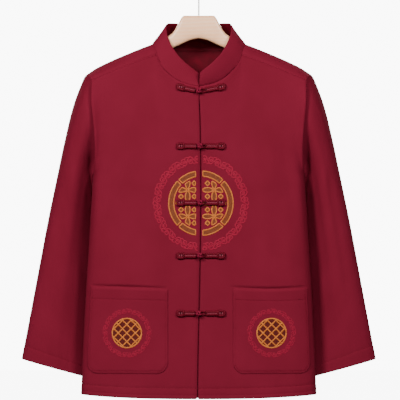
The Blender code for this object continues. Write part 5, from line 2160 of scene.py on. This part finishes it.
@dataclass
class Embroidery:
    """Rayon thread laid on cloth: filled areas, padded outlines and fine scrolls."""

    name: str
    at: Callable[[float, float], tuple[Array, Array]]
    fill_lift: float = 0.00030
    line_lift: float = 0.00010
    grid: float = 0.0042
    step: float = 0.0014

    def laid(self, flat: Array, lift: float) -> Array:
        """Flat points laid on the cloth, a lift off it."""
        found = [self.at(float(x), float(z)) for x, z in flat]
        return np.array([place + out * lift for place, out in found])

    def fill(
        self,
        name: str,
        bounds: Sequence[Array],
        inside: Callable[[Array], Array],
        finish: Finish,
        slant: float,
    ) -> list[Array]:
        """Fill an area with laid thread.

        Args:
            name: what the area is called.
            bounds: the lines where the area may end.
            inside: says which flat points lie in the area.
            finish: the thread.
            slant: the angle of the threads.

        Returns:
            The area's outlines.
        """
        corners, edges = [], []
        for line in bounds:
            edges += [(len(corners) + i, len(corners) + i + 1) for i in range(len(line) - 1)]
            corners += [Vector(p) for p in line]
        flat = np.concatenate(bounds)
        columns, rows = (np.arange(flat[:, k].min(), flat[:, k].max(), self.grid) for k in (0, 1))
        corners += [Vector((x, z)) for x in columns for z in rows]
        places, _, faces, _, _, _ = delaunay_2d_cdt(corners, edges, [], 0, 1e-6)
        flat, triangles = np.array([tuple(p) for p in places]), np.array([tuple(face) for face in faces])
        used, index = np.unique(triangles[inside(flat[triangles].mean(axis=1))], return_inverse=True)
        kept, flat = index.reshape(-1, 3), flat[used]
        points = self.laid(flat, self.fill_lift)
        normal = np.cross(points[kept[:, 1]] - points[kept[:, 0]], points[kept[:, 2]] - points[kept[:, 0]])
        kept = np.where(normal[:, 1:2] > 0, kept[:, ::-1], kept)
        turned = flat @ np.array([[math.cos(slant), -math.sin(slant)], [math.sin(slant), math.cos(slant)]])
        attach(mesh_piece(f"{self.name}_{name}", points, kept, [finish], turned[kept.ravel()]), None)
        LOG.info("%s %s: %d triangles", self.name, name, len(kept))
        sides = np.sort(np.concatenate([kept[:, pair] for pair in ([0, 1], [1, 2], [2, 0])]), axis=1)
        edges, uses = np.unique(sides, axis=0, return_counts=True)
        return [flat[loop] for loop in loops_of([tuple(map(int, edge)) for edge in edges[uses == 1]])]

    def lines(self, name: str, lines: Sequence[Array], width: float, height: float, finish: Finish) -> None:
        """Satin stitch along lines, as low rounded ridges.

        Args:
            name: what the lines are called.
            lines: their flat points.
            width: how wide each is.
            height: how high each stands off the cloth.
            finish: the thread.
        """
        cords = []
        for line in lines:
            lengths = lengths_of(line)
            keep = np.concatenate([[True], np.diff(lengths) > 1e-6])
            line, lengths = line[keep], lengths[keep]
            at = np.linspace(0, lengths[-1], max(4, int(lengths[-1] / self.step)))
            flat = np.stack([np.interp(at, lengths, line[:, k]) for k in (0, 1)], axis=1)
            laid = self.laid(flat, self.line_lift)
            points, faces, uvs = cord(laid, width / 2, height, sides=8, ends=0.75)
            cords.append((points, faces, [(v, u) for u, v in uvs]))
        attach(joined(f"{self.name}_{name}", cords, finish), None)


@dataclass
class ScrollRing:
    """A running scroll bent into a ring: a wave, with a curl and a leaf in every bay."""

    centre: tuple[float, float]
    inner: float
    outer: float
    waves: int

    def bent(self, line_x: Array, line_y: Array) -> Array:
        """A line of points along and up the scroll, bent round the ring.

        Args:
            line_x: places along the scroll.
            line_y: places up it.

        Returns:
            Flat points.
        """
        middle = (self.inner + self.outer) / 2
        turn, radius = line_x / middle, middle + line_y
        return np.array(self.centre) + np.stack([radius * np.sin(turn), radius * np.cos(turn)], axis=1)

    def lines(self) -> list[Array]:
        """Its flat lines.

        Returns:
            The lines.
        """
        half = (self.outer - self.inner) / 2
        round_ring = 2 * math.pi * (self.inner + self.outer) / 2
        wave = round_ring / self.waves
        places = np.linspace(0, round_ring, 40 * self.waves)
        lines = [self.bent(places, 0.80 * half * np.sin(2 * math.pi * places / wave))]
        turn, leaf = np.linspace(0, 1.45 * 2 * math.pi, 34), np.linspace(-0.5, 0.5, 9)
        reach = half * (0.62 - 0.46 * turn / turn[-1])
        for bay in range(2 * self.waves):
            up, start = 1 - 2 * (bay % 2), (bay + 0.5) * wave / 2
            curl_y = -up * (0.34 * half) + up * reach * np.sin(turn + 0.4) * 0.92
            leaf_x, leaf_y = start + wave * 0.25 + leaf * half * 0.9, -up * half * (0.86 - 0.9 * leaf**2)
            curl_x = start + reach * np.cos(turn + 0.4) * 1.05
            lines += [self.bent(curl_x, curl_y), self.bent(leaf_x, leaf_y)]
        return lines


@dataclass
class ChestRoundel:
    """The large roundel over both fronts: linked coins in gold and amber inside a crimson scroll ring."""

    form: JacketForm
    faces: dict[int, ClothFace]
    centre: tuple[float, float] = (0.0045, -0.4775)
    radius: float = 0.0668
    rim: float = 0.0104
    clear: float = 0.0050  # between the rim and the coins
    coin: float = 0.0275  # from the middle of one coin to the next
    coin_gap: float = 0.0009
    reach: float = 0.0510  # from the middle to the farthest petal's middle
    jewel: float = 0.0050  # half of each diamond between the petals
    gap: float = 0.0024
    left_edge: float = -0.0068
    right_edge: float = 0.0088
    scroll_inner: float = 0.0822
    scroll_outer: float = 0.1004
    scroll_edge: float = 0.0050
    scroll_waves: int = 20
    slant: float = math.radians(35)  # of the laid threads
    outline_thread: tuple[float, float] = (0.0027, 0.00055)  # width and height
    scroll_thread: tuple[float, float] = (0.0029, 0.00045)

    def at(self, x: float, z: float) -> tuple[Array, Array]:
        """Where the front lies at (x, z), and its outward direction."""
        return self.faces[1 if x > self.form.front_line(z) else -1].at(x, z)

    def is_gold(self, flat: Array) -> Array:
        """Which flat points lie in the rim's four blocks or in a petal or diamond of the coins.

        Args:
            flat: flat points from the centre.

        Returns:
            True or false for each.
        """
        x, z = flat[:, 0] - self.centre[0], flat[:, 1] - self.centre[1]
        reach, inner = np.hypot(x, z), self.radius - self.rim
        off_gap = np.minimum(abs(x - z), abs(x + z)) / math.sqrt(2) > self.gap
        rim = (reach < self.radius) & (reach > inner) & off_gap
        bend = self.coin / math.sqrt(2) - self.coin_gap
        coins = np.zeros(len(flat), bool)
        for node_x, node_z, side_x, side_z in self.petals():
            off_x, off_z = x - node_x, z - node_z
            coins |= (np.hypot(off_x - side_x, off_z - side_z) < bend) & (
                np.hypot(off_x + side_x, off_z + side_z) < bend
            )
        for jewel_x, jewel_z in self.jewels():
            coins |= abs(x - jewel_x) + abs(z - jewel_z) < self.jewel
        beside = (flat[:, 0] < self.left_edge) | (flat[:, 0] > self.right_edge)
        return beside & (rim | (coins & (reach < inner - self.clear)))

    def petals(self) -> list[tuple[float, float, float, float]]:
        """The middle of each petal, and from it to the middle of one of its two circles.

        Returns:
            The x and z, and the step to the circle's middle, for each petal.
        """
        half, found = self.coin / 2, []
        for i in range(-3, 4):
            for j in range(-3, 4):
                found.append((i * self.coin + half, j * self.coin, 0.0, half))
                found.append((i * self.coin, j * self.coin + half, half, 0.0))
        near = [p for p in found if math.hypot(p[0], p[1]) < self.reach]
        return [p for p in near if abs(p[0]) > 0.001 or p[2] == 0]  # none upright over the front edges

    def jewels(self) -> list[tuple[float, float]]:
        """The middle of each diamond."""
        places = [(i * self.coin / 2, j * self.coin / 2) for i in (-3, -1, 1, 3) for j in (-3, -1, 1, 3)]
        return [p for p in places if math.hypot(*p) < self.reach - self.jewel]

    def bounds(self) -> list[Array]:
        """Every line where the gold may end.

        Returns:
            The lines.
        """
        inner, centre = self.radius - self.rim, np.array(self.centre)
        lines = [circle(self.centre, r) for r in (self.radius, inner, inner - self.clear)]
        top = np.linspace(-self.radius, self.radius, 60) + centre[1]
        lines += [np.stack([np.full(60, x), top], axis=1) for x in (self.left_edge, self.right_edge)]
        lines += bars(self.centre, self.radius, (self.gap, -self.gap))
        diamond = self.jewel * np.array([(1, 0), (0, 1), (-1, 0), (0, -1), (1, 0)])
        corners = np.linspace(0, 4, 25)
        diamond = np.stack([np.interp(corners, range(5), diamond[:, k]) for k in (0, 1)], axis=1)
        lines += [centre + np.array(place) + diamond for place in self.jewels()]
        bend = self.coin / math.sqrt(2) - self.coin_gap
        turn = np.radians(np.linspace(-46, 46, 22))
        for *node, side_x, side_z in self.petals():
            for way in (1, -1):
                middle = centre + node + way * np.array([side_x, side_z])
                lines.append(polar(middle, bend, turn + math.atan2(-way * side_z, -way * side_x)))
        return lines

    def build(self) -> None:
        """Embroider it."""
        work = Embroidery("chest_roundel", self.at)
        outlines = work.fill("amber", self.bounds(), self.is_gold, AMBER_THREAD, self.slant)
        work.lines("gold", outlines, *self.outline_thread, GOLD_THREAD)
        scroll = []
        ring = ScrollRing(self.centre, self.scroll_inner, self.scroll_outer, self.scroll_waves)
        for line in ring.lines():
            scroll += runs(line, abs(line[:, 0] - self.form.front_line(line[:, 1])) > self.scroll_edge)
        work.lines("scroll", scroll, *self.scroll_thread, CRIMSON_THREAD)


@dataclass
class PocketRoundel:
    """The small roundel of a pocket: a gold lattice in a ring, inside a crimson scroll ring."""

    name: str
    face: ClothFace
    centre: tuple[float, float]
    radius: float = 0.0302
    lattice: float = 0.0126
    scroll_inner: float = 0.0400
    scroll_outer: float = 0.0512
    scroll_waves: int = 13
    lattice_thread: tuple[float, float] = (0.0031, 0.00060)  # width and height
    scroll_thread: tuple[float, float] = (0.0018, 0.00035)

    def is_inside(self, flat: Array) -> Array:
        """Which flat points lie in its ring."""
        return np.hypot(*(flat - self.centre).T) < self.radius

    def build(self) -> None:
        """Embroider it."""
        work = Embroidery(self.name, self.face.at)
        lines = [circle(self.centre, self.radius)]
        work.fill("ground", lines, self.is_inside, RUSSET_THREAD, 0.0)
        for bar in bars(self.centre, self.radius, [number * self.lattice for number in range(-2, 3)]):
            lines += runs(bar, self.is_inside(bar))
        work.lines("gold", lines, *self.lattice_thread, GOLD_THREAD)
        scroll = ScrollRing(self.centre, self.scroll_inner, self.scroll_outer, self.scroll_waves)
        work.lines("scroll", scroll.lines(), *self.scroll_thread, CRIMSON_THREAD)


# ---------------------------------------------------------------- hanger


@dataclass
class HangerBar:
    """The wooden hanger: one sanded bar with a flat-topped neck and sloping arms."""

    sides: int = 48
    neck_reach: float = 0.0700
    neck_step: float = 0.0025
    arm_step: float = 0.0060
    roundness: tuple[float, float] = (2.3, 3.0)  # the section's power on the arms and at the neck
    end_round: float = 0.0025

    sections = table(
        "x top bottom half_depth",
        """
        0 -0.085 -0.1327 0.01; 0.018 -0.085 -0.1366 0.01; 0.03 -0.0851 -0.1417 0.01;
        0.0334 -0.0858 -0.1434 0.01; 0.0354 -0.088 -0.1444 0.01; 0.0424 -0.101 -0.1476 0.0098;
        0.049 -0.1128 -0.1505 0.0095; 0.054 -0.1203 -0.1527 0.0092; 0.0625 -0.1272 -0.1563 0.009;
        0.08 -0.14 -0.164 0.0086; 0.09 -0.147 -0.1685 0.0084; 0.102 -0.153 -0.1735 0.0084;
        0.13 -0.1634 -0.184 0.0082; 0.165 -0.178 -0.198 0.008; 0.195 -0.1918 -0.2105 0.0078;
        0.21 -0.2 -0.2165 0.007; 0.215 -0.205 -0.215 0.0045
        """,
    )

    def shaped(self, points: Array) -> Array:
        """Points of a round bar of radius 1 along X, brought to the hanger's sections.

        Args:
            points: the round bar's points.

        Returns:
            The hanger's points.
        """
        x, reach = points[:, 0], abs(points[:, 0])
        sizes = ("top", "bottom", "half_depth")
        top, bottom, depth = (smooth(self.sections["x"], self.sections[name], reach) for name in sizes)
        arms, neck = self.roundness
        power = 2 / (arms + (neck - arms) * ramp(0.0800 - reach, 0.0300))
        across, up = (np.sign(v) * np.minimum(abs(v), 1) ** power for v in points[:, 1:].T)
        return np.stack([x, depth * across, (top + bottom) / 2 + (top - bottom) / 2 * up], axis=1)

    def build(self) -> None:
        """Turn a bar, cut it into sections, shape them and round its ends."""
        end = float(self.sections["x"][-1])
        bpy.ops.object.select_all(action="DESELECT")
        turned = {"rotation": (0, math.radians(90), 0), "calc_uvs": False}
        bpy.ops.mesh.primitive_cylinder_add(vertices=self.sides, radius=1.0, depth=2 * end, **turned)
        bar = bpy.context.object
        bar.name = bar.data.name = "hanger_bar"
        bpy.ops.object.transform_apply(location=False, rotation=True, scale=False)
        neck = np.arange(0, self.neck_reach, self.neck_step)
        cuts = np.concatenate([neck, np.arange(self.neck_reach, end - 0.001, self.arm_step)])
        bpy.ops.object.mode_set(mode="EDIT")
        for cut in sorted({*cuts, *-cuts}):
            bpy.ops.mesh.select_all(action="SELECT")
            bpy.ops.mesh.bisect(plane_co=(cut, 0, 0), plane_no=(1, 0, 0))
        bpy.ops.object.mode_set(mode="OBJECT")
        points = np.empty(len(bar.data.vertices) * 3)
        bar.data.vertices.foreach_get("co", points)
        bar.data.vertices.foreach_set("co", self.shaped(points.reshape(-1, 3)).ravel())
        bevel = bar.modifiers.new("ends", "BEVEL")
        bevel.width, bevel.segments = self.end_round, 4
        bevel.limit_method, bevel.angle_limit = "ANGLE", math.radians(60)
        bpy.ops.object.modifier_apply(modifier=bevel.name)
        bpy.ops.object.shade_smooth_by_angle(angle=math.radians(50))
        dress(bar, BEECH)
        attach(bar, Slot.WOOD, ["hanger"])


# ---------------------------------------------------------------- studio


@dataclass
class Studio:
    """The pale floor, the soft lights in a pale room and the camera."""

    centre: tuple[float, float] = (0.0026, -0.4708)
    width: float = 0.837
    distance: float = 8.4
    sensor: float = 36.0
    floor_z: float = -2.1
    floor_reach: float = 30.0
    ambient: float = 0.10
    room_white: float = 9.5

    lights = (
        ("left", (-2.3, -3.5, 1.5), 1.2, 262.0),
        ("right", (2.1, -3.6, 1.4), 1.2, 152.0),
        ("front", (0.3, -4.4, 1.0), 2.2, 54.0),
        ("back_left", (1.7, 4.2, 1.5), 1.8, 210.0),
        ("back_right", (-1.7, 4.2, 1.5), 1.8, 230.0),
    )

    def build_floor(self) -> None:
        """Make the wide, plain floor."""
        corners = ((-1, -1), (1, -1), (1, 1), (-1, 1))
        points = [(x * self.floor_reach, y * self.floor_reach, self.floor_z) for x, y in corners]
        floor = mesh_piece("studio_floor", points, [(0, 1, 2, 3)], [PAPER])
        floor.visible_diffuse = floor.visible_glossy = False

    def build_lights(self) -> None:
        """Make the lights: two large soft keys, a front fill and two behind."""
        for name, place, size, power in self.lights:
            data = bpy.data.lights.new(name, "AREA")
            data.shape, data.size, data.energy = "SQUARE", size, power
            light = bpy.data.objects.new(name, data)
            light.location = place
            aim = Vector((0.0, 0.0, self.centre[1])) - light.location
            light.rotation_euler = aim.to_track_quat("-Z", "Y").to_euler()
            light.visible_camera = False
            bpy.context.scene.collection.objects.link(light)

    def build_room(self) -> None:
        """Surround it with soft white air, which shows brighter than it lights."""
        world = bpy.data.worlds.new("studio_air")
        bpy.context.scene.world = world
        world.use_nodes = True
        world.node_tree.nodes.clear()
        bench = Bench(world.node_tree)
        soft, seen = (
            bench.add("ShaderNodeBackground", {}, {"Color": linear("#FFFFFF"), "Strength": strength})
            for strength in (self.ambient, self.room_white)
        )
        is_seen = bench.add("ShaderNodeLightPath", output="Is Camera Ray")
        mixed = bench.add("ShaderNodeMixShader", {}, {0: is_seen, 1: soft, 2: seen})
        add_node(world.node_tree, "ShaderNodeOutputWorld", {}, {"Surface": mixed})

    def build_camera(self) -> None:
        """Make the camera, front-on and level with the middle of the jacket."""
        data = bpy.data.cameras.new("camera")
        data.sensor_width, data.lens = self.sensor, self.sensor * self.distance / self.width
        camera = bpy.data.objects.new("camera", data)
        camera.location = (self.centre[0], -self.distance, self.centre[1])
        camera.rotation_euler = (math.radians(90), 0.0, 0.0)
        bpy.context.scene.collection.objects.link(camera)
        bpy.context.scene.camera = camera

    def build(self) -> None:
        """Make the floor, the lights, the room and the camera."""
        self.build_floor()
        self.build_lights()
        self.build_room()
        self.build_camera()


def dress(piece: Object, finish: Finish) -> None:
    """Give a solid one finish in place of its own."""
    piece.data.materials.clear()
    piece.data.materials.append(finish.material())


def main() -> None:
    """Build every piece in order."""
    logging.basicConfig(level=logging.INFO, format="%(message)s")
    HangerBar().build()
    form = JacketForm()
    body = Body(form)
    body.build()
    for side in SIDES:
        Sleeve(form, side).build()
    Collar(form).build()
    inner = {1: 0.300, -1: 0.270}
    pockets = {side: PatchPocket(form, body.faces[side], side, inner[side]) for side in SIDES}
    for pocket in pockets.values():
        pocket.build()
    ChestRoundel(form, body.faces).build()
    for side, x in ((1, 0.1514), (-1, -0.1493)):
        PocketRoundel(f"pocket_roundel_{SIDES[side]}", pockets[side].top, (x, -0.7473)).build()
    frogs = ((-0.2434, 0.0098), (-0.3586, 0.0), (-0.4762, 0.0), (-0.5860, 0.0), (-0.7060, 0.0))
    for number, (z, arm_rise) in enumerate(frogs, start=1):
        Frog(number, z, arm_rise, form, body.faces).build()
    dress(bpy.data.objects["hook"], STEEL)
    Studio().build()


if __name__ == "__main__":
    main()
